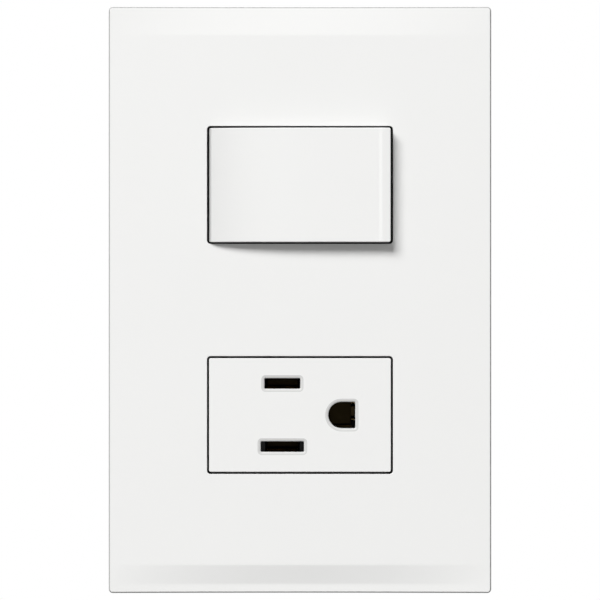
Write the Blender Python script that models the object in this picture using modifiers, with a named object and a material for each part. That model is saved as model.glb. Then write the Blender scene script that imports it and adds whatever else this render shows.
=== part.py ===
"""Wall switch and socket on one cover plate, modelled piece by piece at real size.

X is right, Z is up and the front faces -Y. The wall plane is y = 0, and the origin is the centre
of the support frame's rear face, midway between its two box screws. Each module is modelled about
its own centre and hangs from an empty there. The rocker and the see-saw contact hang from empties
on their own axes, turned to the pose with the rocker's left side pressed in.
"""

import math

import bmesh
import bpy
from mathutils import Matrix, Vector

MM = 0.001
OBJECT_NAME = "switch_and_socket_combination"

# Clearance between pieces that seat on, pass through or run beside each other
GAP = 0.3 * MM

# How far a cutting shape runs past the face that it opens
OVER = 1.0 * MM

# Points closer than this are one point
WELD = 0.001 * MM

# Cover plate
PLATE_WIDTH = 77.0 * MM
PLATE_HEIGHT = 118.0 * MM
PLATE_DEPTH = 8.0 * MM
PLATE_WALL = 2.0 * MM
PLATE_CORNER = 0.8 * MM
PLATE_EDGE = 0.5 * MM
END_BAND = 5.7 * MM
END_SLOPE = 3.9 * MM
END_DROP = 0.85 * MM
END_BAND_STEPS = 16
WINDOW_GAP = 0.4 * MM
COLLAR_WALL = 1.2 * MM
COLLAR_BEFORE_SHEET = 1.2 * MM

# Snap pegs behind the plate, and where they stand
PEG_WIDTH = 5.0 * MM
PEG_THICKNESS = 1.6 * MM
PEG_BARB = 0.5 * MM
PEG_BARB_LENGTH = 0.8 * MM
PEG_BARB_FLAT = 0.2 * MM
PEG_TIP = 0.3 * MM
PEG_SHORT_OF_WALL = 0.5 * MM
PEG_EAR_INSET = 7.0 * MM
PEG_SIDE_INSET = 4.5 * MM

# Webs that stiffen the plate between its side walls and the frame
WEB_THICKNESS = 1.2 * MM
WEB_REACH = 4.0 * MM
WEB_TOE = 0.6 * MM
WEB_FROM_FRAME = 1.2 * MM
WEB_SPACING = 22.0 * MM
WEB_ROWS = 5

# Support frame
FRAME_RAIL = 12.0 * MM
FRAME_END_ROOM = 3.0 * MM
FRAME_CORNER = 4.0 * MM
FRAME_SHEET = 2.4 * MM
FRAME_RIM = 1.6 * MM
RIB_THICKNESS = 1.2 * MM
BRIDGE_RIB_FROM_COLLAR = 0.5 * MM
EAR_RIB_FROM_COLLAR = 5.0 * MM
EAR_RIB_X = 12.0 * MM
LUG_POCKET_DEPTH = 0.5 * MM

# Box screws: 83.3 mm is the spacing of the standard outlet box
BOX_SCREW_SPACING = 83.3 * MM
BOX_SLOT_LENGTH = 8.6 * MM
BOX_SLOT_END_FLAT = 0.08 * MM
BOX_SCREW_RADIUS = 1.75 * MM
BOX_SCREW_LENGTH = 22.0 * MM
BOX_HEAD_RADIUS = 3.3 * MM
BOX_HEAD_HEIGHT = 2.0 * MM

# Every screw: shares of its head's radius or height, and of its shank's radius
HEAD_FLAT_SHARE = 0.55
HEAD_CROWN_SHARE = 0.4
DRIVE_SLOT_WIDTH_SHARE = 0.32
DRIVE_SLOT_DEPTH_SHARE = 0.5
END_CHAMFER_SHARE = 0.35

# What both modules share
FACE_FROM_BOX_SCREW = 7.05 * MM
FACE_WIDTH = 36.6 * MM
FACE_HEIGHT = 22.9 * MM
FACE_CORNER = 0.6 * MM
FACE_EDGE = 0.35 * MM
BODY_SIDE_INSET = 2.3 * MM
BODY_END_INSET = 1.15 * MM
BODY_WALL = 1.6 * MM
BODY_EDGE = 0.8 * MM
FLANGE_THICKNESS = 1.3 * MM
FLANGE_INSET = 0.2 * MM
LUG_REACH = 0.9 * MM
LUG_LENGTH = 2.5 * MM
LUG_FLAT = 0.6 * MM
LUG_WIDTH = 8.0 * MM
SHELF_BEFORE_PARTITION = 1.56 * MM
PARTITION = 1.5 * MM

# Terminals: brass strip, square clamp plate and slotted screw
STRIP = 1.0 * MM
CLAMP_THICKNESS = 1.2 * MM
CLAMP_SIZE = 6.0 * MM
CLAMP_EDGE = 0.3 * MM
TERMINAL_SCREW_RADIUS = 1.6 * MM
TERMINAL_HEAD_RADIUS = 2.8 * MM
TERMINAL_HEAD_HEIGHT = 2.0 * MM
TERMINAL_SCREW_BELOW = 1.2 * MM
HEAD_BELOW_REAR = 0.9 * MM
STRIP_FROM_WALL = 0.8 * MM
WIRE_HOLE_RADIUS = 1.5 * MM
WIRE_HOLE_BEHIND_STRIP = 0.75 * MM

# Rocker: pivot, travel and the cap's form with its left side pressed in
PIVOT_BELOW_FACE = 1.4 * MM
ROCKER_TRAVEL = math.radians(9.0)
CAP_LEFT_CLEARANCE = 0.05 * MM
CAP_RIGHT_CLEARANCE = 0.2 * MM
CAP_DRAFT = 0.28 * MM
CAP_RISE = 3.1 * MM
CAP_LOW_EDGE = 0.1 * MM
CAP_LIP = 1.9 * MM
CAP_LIP_DROP = 0.25 * MM
CAP_WALL = 1.5 * MM
SKIRT_CLEARANCE = 0.48 * MM
CROWN_POWER = 3.0
CROWN_ROOT = 0.33
CROWN_STEPS = 18
TRUNNION_RADIUS = 1.0 * MM
EAR_THICKNESS = 1.2 * MM
EAR_INSET = 0.8 * MM
EAR_EDGE = 0.8 * MM
CHEEK_THICKNESS = 1.6 * MM
CHEEK_RADIUS = 2.0 * MM
STEM_RADIUS = 2.8 * MM
STEM_LENGTH = 9.5 * MM
STEM_BORE_RADIUS = 1.7 * MM
STEM_BORE_DEPTH = 10.0 * MM

# Plunger and spring inside the stem
PLUNGER_LENGTH = 7.0 * MM
PLUNGER_REACH = 3.1 * MM
SPRING_WIRE_RADIUS = 0.2 * MM
SPRING_TURNS = 6
SPRING_POINTS_A_TURN = 12

# See-saw contact on its knife edge
SEESAW_RATIO = 1.5
BLADE_RUNNING_GAP = 0.15 * MM
BLADE_THICKNESS = 0.9 * MM
BLADE_WIDTH = 6.0 * MM
BLADE_END_CLEARANCE = 0.2 * MM
BLADE_SHORT_ARM = 9.0 * MM
NOTCH_DEPTH = 0.35 * MM
NOTCH_HALF_WIDTH = 0.9 * MM
TIP_FROM_BLADE_END = 2.1 * MM
TIP_RADIUS = 1.7 * MM
TIP_FACE_RADIUS = 1.2 * MM
TIP_HEIGHT = 0.9 * MM
TIP_SHOULDER_SHARE = 0.6
TIP_SHANK_RADIUS = 0.9 * MM
TIP_RIVET_RADIUS = 1.4 * MM
TIP_RIVET_HEIGHT = 0.35 * MM
COMMON_SCREW_FROM_WALL = 5.4 * MM
SHELF_BEYOND_TIP = 1.2 * MM
BARRIER_X = 2.6 * MM
BARRIER = 2.0 * MM

# Socket pattern: 15 A, 127 V parallel blades with a round earth pin
BLADE_LINE_X = -3.55 * MM
BLADE_PITCH = 12.7 * MM
EARTH_OFFSET = 11.9 * MM
SLOT_HEIGHT = 2.1 * MM
LINE_SLOT = 7.2 * MM
NEUTRAL_SLOT = 8.7 * MM
SLOT_CORNER = 0.4 * MM
EARTH_RADIUS = 2.65 * MM
EARTH_FLAT = 2.75 * MM
SLOT_CHAMFER = 0.65 * MM
PLUG_BLADE = 1.5 * MM
PLUG_PIN = 4.8 * MM

# Socket face and its fixing
SOCKET_WALL = 2.2 * MM
SKIRT_WALL = 1.5 * MM
SHROUD_WALL = 1.0 * MM
FIXING_LEFT_INSET = 3.6 * MM
FIXING_RIGHT_INSET = 3.8 * MM
FIXING_END_INSET = 3.3 * MM
FIXING_SHANK_RADIUS = 1.0 * MM
FIXING_HEAD_RADIUS = 1.8 * MM
FIXING_HEAD_HEIGHT = 1.6 * MM
FIXING_SEAT_BEFORE_PARTITION = 3.8 * MM
FIXING_BITE = 1.2 * MM
BOSS_WALL = 1.2 * MM

# Spring contacts of the socket
CLIP_THICKNESS = 0.7 * MM
CLIP_GRIP = 0.13 * MM
CLIP_FLARE = 0.9 * MM
CLIP_BELLY = 0.5 * MM
CLIP_WIDTH = 6.4 * MM
EARTH_CLIP_WIDTH = 4.4 * MM
CLIP_BELOW_FACE = 0.4 * MM
CLIP_FLARE_LENGTH = 2.4 * MM
CLIP_GRIP_LENGTH = 2.6 * MM
CLIP_BEFORE_FLOOR = 1.2 * MM
TAIL_WIDTH = 5.6 * MM
LIVE_POCKET_WALL = 1.05 * MM
LIVE_SCREW_FROM_WALL = 4.8 * MM
LIVE_LEG_INSET = 1.65 * MM
EARTH_LEG_INSET = 0.2 * MM
CORE_WALL = 1.5 * MM

# Empties are drawn this large
EMPTY_SIZE = 5.0 * MM

# Widths and heights that follow from the sizes above
BODY_WIDTH = FACE_WIDTH - 2 * BODY_SIDE_INSET
BODY_HEIGHT = FACE_HEIGHT - 2 * BODY_END_INSET
FRAME_WIDTH = BODY_WIDTH + 2 * FRAME_RAIL
FRAME_HEIGHT = PLATE_HEIGHT - 2 * (PLATE_WALL + FRAME_END_ROOM)
MODULE_PITCH = BOX_SCREW_SPACING - FACE_HEIGHT - 2 * FACE_FROM_BOX_SCREW
COLLAR_HALF_HEIGHT = FACE_HEIGHT / 2 + WINDOW_GAP + COLLAR_WALL
CAP_LEFT = FACE_WIDTH / 2 - CAP_LEFT_CLEARANCE
CAP_RIGHT = FACE_WIDTH / 2 - CAP_RIGHT_CLEARANCE

# Places across a module: the wall that its pockets end at, its strips and its terminals
POCKET_END = BODY_WIDTH / 2 - BODY_WALL
STRIP_END = POCKET_END - STRIP_FROM_WALL
CLAMP_ROOM = CLAMP_SIZE / 2 + GAP
BARRIER_LEFT = BARRIER_X - BARRIER / 2
BARRIER_RIGHT = BARRIER_X + BARRIER / 2
COMMON_SCREW_X = COMMON_SCREW_FROM_WALL - POCKET_END
LOAD_SCREW_X = (BARRIER_RIGHT + POCKET_END) / 2
BLADE_ARM = STRIP_END - STRIP - BLADE_END_CLEARANCE
TIP_X = BLADE_ARM - TIP_FROM_BLADE_END
SHELF_INNER_X = TIP_X - TIP_RADIUS - SHELF_BEYOND_TIP
EARTH_X = BLADE_LINE_X + EARTH_OFFSET
LIVE_LEG_X = BLADE_LINE_X + CLIP_WIDTH / 2 - LIVE_LEG_INSET
LIVE_SCREW_X = LIVE_SCREW_FROM_WALL - POCKET_END
LIVE_TERMINAL_Z = BODY_HEIGHT / 2 - LIVE_POCKET_WALL - CLAMP_ROOM
EARTH_LEG_X = EARTH_X - EARTH_CLIP_WIDTH / 2 + EARTH_LEG_INSET
EARTH_SCREW_X = POCKET_END - CLAMP_ROOM

# Levels along Y in front of the wall
SHEET_FRONT = -FRAME_SHEET
FLANGE_REAR = SHEET_FRONT - GAP
FLANGE_FRONT = FLANGE_REAR - FLANGE_THICKNESS
PLATE_FRONT = -PLATE_DEPTH
PLATE_INNER = PLATE_FRONT + PLATE_WALL
COLLAR_REAR = SHEET_FRONT - COLLAR_BEFORE_SHEET
RIM_FRONT = PLATE_INNER + GAP
PIVOT_Y = PLATE_FRONT + PIVOT_BELOW_FACE
HALF_TRAVEL = ROCKER_TRAVEL / 2
SEESAW_TILT = HALF_TRAVEL * SEESAW_RATIO
CAP_SKIRT = FLANGE_FRONT - PIVOT_Y - CAP_LEFT * math.sin(HALF_TRAVEL) - SKIRT_CLEARANCE

# See-saw levels: the plunger's end at mid travel, then down through the blade to its knife edge,
# and the fixed contact's face where the moving one comes to rest
PLUNGER_END = STEM_LENGTH + PLUNGER_REACH
BLADE_TOP = PIVOT_Y + PLUNGER_END + BLADE_RUNNING_GAP
BLADE_BOTTOM = BLADE_TOP + BLADE_THICKNESS
KNIFE_EDGE_Y = BLADE_BOTTOM - NOTCH_DEPTH + GAP
TIP_SWING = (TIP_X + TIP_FACE_RADIUS) * math.sin(SEESAW_TILT)
TIP_DROP = (NOTCH_DEPTH + TIP_HEIGHT) * math.cos(SEESAW_TILT)
FIXED_TIP_FACE = KNIFE_EDGE_Y + TIP_SWING + TIP_DROP + GAP / 2
SHELF_FRONT = FIXED_TIP_FACE + TIP_HEIGHT + GAP
SHELF_REAR = SHELF_FRONT + STRIP

# Levels of the partition and of the terminals behind it
PARTITION_FRONT = SHELF_REAR + SHELF_BEFORE_PARTITION
FIXING_SEAT = PARTITION_FRONT - FIXING_SEAT_BEFORE_PARTITION
PARTITION_REAR = PARTITION_FRONT + PARTITION
STRIP_FRONT = PARTITION_REAR + GAP
STRIP_REAR = STRIP_FRONT + STRIP
CLAMP_FRONT = STRIP_REAR + GAP
CLAMP_REAR = CLAMP_FRONT + CLAMP_THICKNESS
HEAD_SEAT = CLAMP_REAR + GAP
BODY_REAR = HEAD_SEAT + TERMINAL_HEAD_HEIGHT + HEAD_BELOW_REAR

# Facets of round pieces
ROUND_STEPS = 24
SMALL_ROUND_STEPS = 16

# A bent strip's corner reaches no further than its half thickness divided by this
MITRE_LIMIT = 0.3

PART_COLLECTION = None
TOOL_COLLECTION = None


def clear_scene():
    """Empty the scene, its collections included."""
    for item in list(bpy.data.objects):
        bpy.data.objects.remove(item, do_unlink=True)
    for collection in list(bpy.data.collections):
        bpy.data.collections.remove(collection)


def make_collections():
    """One collection for the pieces and one for the shapes that cut or join them."""
    global PART_COLLECTION, TOOL_COLLECTION
    PART_COLLECTION = bpy.data.collections.new(OBJECT_NAME)
    TOOL_COLLECTION = bpy.data.collections.new("cutters")
    for collection in (PART_COLLECTION, TOOL_COLLECTION):
        bpy.context.scene.collection.children.link(collection)


def finish(name, colour, roughness, metallic=0.0):
    """A Principled material of one colour."""
    material = bpy.data.materials.new(name)
    material.use_nodes = True
    shader = material.node_tree.nodes["Principled BSDF"]
    shader.inputs["Base Color"].default_value = (*colour, 1.0)
    shader.inputs["Roughness"].default_value = roughness
    shader.inputs["Metallic"].default_value = metallic
    material.diffuse_color = (*colour, 1.0)
    return material


FINISHES = {
    "white": ((0.85, 0.85, 0.84), 0.35, 0.0),
    "dark": ((0.03, 0.03, 0.032), 0.5, 0.0),
    "grey": ((0.09, 0.09, 0.095), 0.5, 0.0),
    "brass": ((0.78, 0.55, 0.22), 0.3, 1.0),
    "steel": ((0.62, 0.62, 0.64), 0.32, 1.0),
    "silver": ((0.85, 0.84, 0.82), 0.25, 1.0),
    "amber": ((0.55, 0.3, 0.12), 0.4, 0.0),
}


# Objects, and how they are placed and combined


def empty(name, location, parent=None, turn=0.0):
    """An empty that carries pieces; turn is about its Z axis."""
    carrier = bpy.data.objects.new(name, None)
    carrier.empty_display_size = EMPTY_SIZE
    carrier.location = location
    carrier.rotation_euler = (0.0, 0.0, turn)
    carrier.parent = parent
    PART_COLLECTION.objects.link(carrier)
    return carrier


def add_object(name, mesh, parent):
    """An object for a mesh, first kept with the tools until it is named a piece."""
    item = bpy.data.objects.new(name, mesh)
    item.parent = parent
    item.hide_render = True
    item.display_type = "WIRE"
    TOOL_COLLECTION.objects.link(item)
    return item


def piece(item, name, look):
    """Turn a shape into a named piece with a material of its own."""
    item.name = name
    item.hide_render = False
    item.display_type = "TEXTURED"
    TOOL_COLLECTION.objects.unlink(item)
    PART_COLLECTION.objects.link(item)
    item.data.materials.clear()
    item.data.materials.append(finish(name + "_finish", *FINISHES[look]))
    return item


def combine(item, tool, operation):
    """Add an exact Boolean modifier with the tool."""
    modifier = item.modifiers.new(operation.lower(), "BOOLEAN")
    modifier.operation = operation
    modifier.solver = "EXACT"
    modifier.object = tool
    return item


def cut(item, *tools):
    """Cut each tool out of the item."""
    for tool in tools:
        combine(item, tool, "DIFFERENCE")
    return item


def join(item, *tools):
    """Melt each tool into the item."""
    for tool in tools:
        combine(item, tool, "UNION")
    return item


def round_edges(item, width, segments=2, angle=35.0):
    """Round every edge sharper than the angle."""
    bevel = item.modifiers.new("round", "BEVEL")
    bevel.width = width
    bevel.segments = segments
    bevel.limit_method = "ANGLE"
    bevel.angle_limit = math.radians(angle)
    return item


def smooth(item):
    """Shade round faces smooth and keep the sharp edges."""
    item.data.shade_smooth()
    item.data.set_sharp_from_angle(angle=math.radians(35.0))
    return item


# Basic solids


def mesh_from(bm, name):
    """A mesh from an edit mesh, with its faces turned outwards."""
    bmesh.ops.recalc_face_normals(bm, faces=bm.faces)
    mesh = bpy.data.meshes.new(name)
    bm.to_mesh(mesh)
    bm.free()
    return mesh


def box(name, x, y, z, parent=None):
    """A box between the given pairs of limits."""
    size = Vector((x[1] - x[0], y[1] - y[0], z[1] - z[0]))
    centre = Vector((x[0] + x[1], y[0] + y[1], z[0] + z[1])) / 2
    bm = bmesh.new()
    bmesh.ops.create_cube(bm, size=1.0)
    place = Matrix.Translation(centre) @ Matrix.Diagonal((*size, 1.0))
    bmesh.ops.transform(bm, matrix=place, verts=bm.verts)
    return add_object(name, mesh_from(bm, name), parent)


def rod(name, radius, start, end, parent=None, facets=ROUND_STEPS):
    """A round rod from one point to another."""
    start = Vector(start)
    end = Vector(end)
    run = end - start
    turn = run.to_track_quat("Z", "Y").to_matrix().to_4x4()
    bm = bmesh.new()
    bmesh.ops.create_cone(
        bm, cap_ends=True, segments=facets, radius1=radius, radius2=radius, depth=run.length
    )
    bmesh.ops.transform(bm, matrix=Matrix.Translation((start + end) / 2) @ turn, verts=bm.verts)
    return add_object(name, mesh_from(bm, name), parent)


PLANES = {
    "X": Matrix(((0, 0, 1), (1, 0, 0), (0, 1, 0))),
    "Y": Matrix(((1, 0, 0), (0, 0, -1), (0, 1, 0))),
    "Z": Matrix.Identity(3),
}


def prism(name, outline, along, low, high, parent=None):
    """A flat outline given its thickness along X, Y or Z, between two levels.

    The outline's pairs are (y, z) along X, (x, z) along Y and (x, y) along Z.
    """
    curve = bpy.data.curves.new(name, "CURVE")
    curve.dimensions = "2D"
    curve.fill_mode = "BOTH"
    curve.extrude = (high - low) / 2
    spline = curve.splines.new("POLY")
    spline.points.add(len(outline) - 1)
    for point, (u, v) in zip(spline.points, outline):
        point.co = (u, v, 0.0, 1.0)
    spline.use_cyclic_u = True
    guide = bpy.data.objects.new(name + "_outline", curve)
    TOOL_COLLECTION.objects.link(guide)
    graph = bpy.context.evaluated_depsgraph_get()
    mesh = bpy.data.meshes.new_from_object(guide.evaluated_get(graph))
    bpy.data.objects.remove(guide, do_unlink=True)
    bm = bmesh.new()
    bm.from_mesh(mesh)
    bpy.data.meshes.remove(mesh)
    bmesh.ops.remove_doubles(bm, verts=bm.verts, dist=WELD)
    centre = {"X": (1, 0, 0), "Y": (0, 1, 0), "Z": (0, 0, 1)}[along]
    place = Matrix.Translation(Vector(centre) * (low + high) / 2) @ PLANES[along].to_4x4()
    bmesh.ops.transform(bm, matrix=place, verts=bm.verts)
    return add_object(name, mesh_from(bm, name), parent)


def loft(name, rings, parent=None):
    """A closed body through rings of points, each with the same number of points."""
    bm = bmesh.new()
    loops = [[bm.verts.new(point) for point in ring] for ring in rings]
    count = len(loops[0])
    for first, second in zip(loops, loops[1:]):
        for i in range(count):
            j = (i + 1) % count
            bm.faces.new((first[i], first[j], second[j], second[i]))
    bm.faces.new(loops[0])
    bm.faces.new(loops[-1])
    return add_object(name, mesh_from(bm, name), parent)


def turned(name, profile, location, facing, parent=None, facets=ROUND_STEPS):
    """A turned solid: (radius, height) pairs from its top to its bottom, carried round its axis.

    facing is +1 where the top looks towards +Y and -1 where it looks towards -Y.
    """
    mesh = bpy.data.meshes.new(name)
    points = [(radius, 0.0, height) for radius, height in profile]
    mesh.from_pydata(points, [(i, i + 1) for i in range(len(points) - 1)], [])
    item = add_object(name, mesh, parent)
    item.location = location
    item.rotation_euler = (-facing * math.pi / 2, 0.0, 0.0)
    screw = item.modifiers.new("turn", "SCREW")
    screw.axis = "Z"
    screw.angle = math.tau
    screw.steps = facets
    screw.render_steps = facets
    screw.use_merge_vertices = True
    screw.merge_threshold = WELD
    return item


# Outlines


def arc(centre, radius, start, stop, steps):
    """Points of an arc, angles in degrees."""
    points = []
    for i in range(steps + 1):
        angle = math.radians(start + (stop - start) * i / steps)
        points.append((centre[0] + radius * math.cos(angle), centre[1] + radius * math.sin(angle)))
    return points


def rounded_rectangle(width, height, radius, centre=(0.0, 0.0), steps=4):
    """A rectangle with round corners."""
    x, z = centre
    u = width / 2 - radius
    v = height / 2 - radius
    corners = (((u, v), 0), ((-u, v), 90), ((-u, -v), 180), ((u, -v), 270))
    points = []
    for (du, dv), start in corners:
        points += arc((x + du, z + dv), radius, start, start + 90, steps)
    return points


def earth_outline(grow=0.0):
    """The earth hole: a half circle to the left and a flat end to the right."""
    corner = SLOT_CORNER + grow
    reach = EARTH_FLAT - SLOT_CORNER
    rise = EARTH_RADIUS - SLOT_CORNER
    points = arc((EARTH_X, 0.0), EARTH_RADIUS + grow, 90, 270, 12)
    points += arc((EARTH_X + reach, -rise), corner, 270, 360, 4)
    points += arc((EARTH_X + reach, rise), corner, 0, 90, 4)
    return points


def slot_outline(length, z, grow=0.0):
    """A blade slot."""
    size = (length + 2 * grow, SLOT_HEIGHT + 2 * grow)
    return rounded_rectangle(*size, SLOT_CORNER + grow, (BLADE_LINE_X, z))


def strip_outline(path, thickness):
    """The closed outline of a bent strip, from the line along its middle."""
    half = thickness / 2
    points = [Vector(point) for point in path]
    normals = []
    for first, second in zip(points, points[1:]):
        run = (second - first).normalized()
        normals.append(Vector((-run.y, run.x)))
    sides = []
    for i, point in enumerate(points):
        before = normals[max(i - 1, 0)]
        after = normals[min(i, len(normals) - 1)]
        mitre = (before + after).normalized()
        reach = half / max(mitre.dot(after), MITRE_LIMIT)
        sides.append((point + mitre * reach, point - mitre * reach))
    left = [tuple(side[0]) for side in sides]
    right = [tuple(side[1]) for side in reversed(sides)]
    return left + right


# Fasteners


def screw_profile(head_radius, head_height, shank_radius, length):
    """Pan head, shank and chamfered end; height 0 is the head's seat."""
    flat = head_radius * HEAD_FLAT_SHARE
    crown = head_height * HEAD_CROWN_SHARE
    chamfer = shank_radius * END_CHAMFER_SHARE
    quarter = arc((0.0, 0.0), 1.0, 90, 0, 2)
    dome = [(flat + (head_radius - flat) * u, head_height - crown + crown * v) for u, v in quarter]
    return [
        (0.0, head_height),
        *dome,
        (head_radius, 0.0),
        (shank_radius, 0.0),
        (shank_radius, chamfer - length),
        (shank_radius - chamfer, -length),
        (0.0, -length),
    ]


def screw(name, look, sizes, location, facing, parent=None):
    """A slotted screw of (head radius, head height, shank radius, length), seated at its location."""
    head_radius, head_height, shank_radius, length = sizes
    profile = screw_profile(*sizes)
    item = smooth(turned(name, profile, location, facing, parent))
    x, y, z = location
    half = head_radius * DRIVE_SLOT_WIDTH_SHARE / 2
    depth = head_height * DRIVE_SLOT_DEPTH_SHARE
    top = y + facing * head_height
    levels = sorted((top - facing * depth, top + facing * depth))
    reach = head_radius + GAP
    cut(item, box(name + "_slot", (x - reach, x + reach), levels, (z - half, z + half), parent))
    return piece(item, name, look)


def terminal(label, x, z, parent):
    """The clamp plate and screw that hold a wire on a terminal strip."""
    half = CLAMP_SIZE / 2
    name = label + "_clamp_plate"
    plate = box(name, (x - half, x + half), (CLAMP_FRONT, CLAMP_REAR), (z - half, z + half), parent)
    round_edges(plate, CLAMP_EDGE, 1)
    hole = TERMINAL_SCREW_RADIUS + GAP
    cut(plate, rod(name + "_hole", hole, (x, STRIP_REAR, z), (x, HEAD_SEAT, z), parent, SMALL_ROUND_STEPS))
    piece(plate, name, "steel")
    length = HEAD_SEAT - PARTITION_REAR + TERMINAL_SCREW_BELOW
    sizes = (TERMINAL_HEAD_RADIUS, TERMINAL_HEAD_HEIGHT, TERMINAL_SCREW_RADIUS, length)
    screw(label + "_terminal_screw", "brass", sizes, (x, HEAD_SEAT, z), 1, parent)


def screw_hole(label, x, z, parent):
    """Clearance for a terminal screw through its strip and the partition."""
    radius = TERMINAL_SCREW_RADIUS + GAP
    front = PARTITION_FRONT - GAP
    return rod(label, radius, (x, front, z), (x, CLAMP_FRONT, z), parent, SMALL_ROUND_STEPS)


# Cover plate and support frame


def end_band_tool(side):
    """What is cut off the plate's end: a slope from the crease, then a level strip to the edge.

    The cut is deepest at mid width and comes to nothing at the corners.
    """
    half = PLATE_WIDTH / 2 + PLATE_EDGE
    crease = PLATE_HEIGHT / 2 - END_BAND
    beyond = PLATE_HEIGHT / 2 + OVER
    above = PLATE_FRONT - GAP
    rings = []
    for i in range(END_BAND_STEPS + 1):
        across = -1.0 + 2.0 * i / END_BAND_STEPS
        level = PLATE_FRONT + END_DROP * (1.0 - across * across)
        section = [
            (PLATE_FRONT, crease),
            (level, crease + END_SLOPE),
            (level, beyond),
            (above, beyond),
            (above, crease),
        ]
        rings.append([(across * half, y, side * z) for y, z in section])
    return loft("end_band_tool", rings)


def side_webs():
    """Tapered webs that join the plate's front to its side walls beside the frame."""
    inner = FRAME_WIDTH / 2 + WEB_FROM_FRAME
    outer = PLATE_WIDTH / 2 - PLATE_WALL + GAP
    root = PLATE_INNER - GAP
    webs = []
    for row in range(WEB_ROWS):
        z = (row - (WEB_ROWS - 1) / 2) * WEB_SPACING
        levels = (z - WEB_THICKNESS / 2, z + WEB_THICKNESS / 2)
        for side in (-1, 1):
            outline = [
                (side * inner, root),
                (side * outer, root),
                (side * outer, PLATE_INNER + WEB_REACH),
                (side * inner, PLATE_INNER + WEB_TOE),
            ]
            webs.append(prism("side_web", outline, "Z", *levels))
    return webs


def peg(x, z, outward):
    """A snap peg behind the plate; outward is the unit direction (x, z) of its barb."""
    half = PEG_THICKNESS / 2
    root = PLATE_INNER - GAP
    tip = -PEG_SHORT_OF_WALL
    catch = tip - PEG_BARB_LENGTH
    section = [
        (-half, root),
        (half, root),
        (half, catch),
        (half + PEG_BARB, catch),
        (half + PEG_BARB, catch + PEG_BARB_FLAT),
        (PEG_TIP, tip),
        (-half, tip),
    ]
    if outward[0]:
        outline = [(x + outward[0] * u, y) for u, y in section]
        return prism("peg", outline, "Z", z - PEG_WIDTH / 2, z + PEG_WIDTH / 2)
    outline = [(y, z + outward[1] * u) for u, y in section]
    return prism("peg", outline, "X", x - PEG_WIDTH / 2, x + PEG_WIDTH / 2)


def peg_places():
    """Four pegs at the ears and two beside the bridge."""
    side_x = FRAME_WIDTH / 2 - PEG_SIDE_INSET
    ear_x = FRAME_WIDTH / 2 - PEG_EAR_INSET
    ear_z = FRAME_HEIGHT / 2 - PEG_EAR_INSET
    places = []
    for side in (-1, 1):
        places.append((side * side_x, 0.0, (side, 0)))
        for end in (-1, 1):
            places.append((side * ear_x, end * ear_z, (0, end)))
    return places


def peg_slots():
    """The frame's slots for the pegs, undercut behind so that the barbs catch."""
    half = PEG_THICKNESS / 2 + GAP
    width = PEG_WIDTH / 2 + GAP
    ledge = -PEG_SHORT_OF_WALL - PEG_BARB_LENGTH - GAP
    tools = []
    for x, z, (ox, oz) in peg_places():
        for reach, front in ((0.0, RIM_FRONT - GAP), (PEG_BARB, ledge)):
            outer = half + reach
            if ox:
                spans = (sorted((x - ox * half, x + ox * outer)), (z - width, z + width))
            else:
                spans = ((x - width, x + width), sorted((z - oz * half, z + oz * outer)))
            tools.append(box("peg_slot", spans[0], (front, GAP), spans[1]))
    return tools


def window_outline(z, grow=0.0):
    """A window of the cover plate round a module's face."""
    room = 2 * (WINDOW_GAP + grow)
    corner = FACE_CORNER + WINDOW_GAP + grow
    return rounded_rectangle(FACE_WIDTH + room, FACE_HEIGHT + room, corner, (0.0, z))


def make_cover_plate():
    """A shallow moulded shell with two windows, their collars, side webs and six snap pegs."""
    half_x = PLATE_WIDTH / 2
    half_z = PLATE_HEIGHT / 2
    outline = rounded_rectangle(PLATE_WIDTH, PLATE_HEIGHT, PLATE_CORNER)
    plate = prism("cover_plate", outline, "Y", PLATE_FRONT, 0.0)
    cut(plate, end_band_tool(1), end_band_tool(-1))
    round_edges(plate, PLATE_EDGE)
    inner_x = half_x - PLATE_WALL
    inner_z = half_z - PLATE_WALL
    cut(plate, box("plate_hollow", (-inner_x, inner_x), (PLATE_INNER, OVER), (-inner_z, inner_z)))
    for side in (-1, 1):
        z = side * MODULE_PITCH / 2
        collar = window_outline(z, COLLAR_WALL)
        join(plate, prism("collar", collar, "Y", PLATE_INNER - GAP, COLLAR_REAR))
        hole = window_outline(z)
        cut(plate, prism("window", hole, "Y", PLATE_FRONT - OVER, COLLAR_REAR + OVER))
    join(plate, *side_webs())
    join(plate, *[peg(*place) for place in peg_places()])
    return piece(smooth(plate), "cover_plate", "white")


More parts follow.
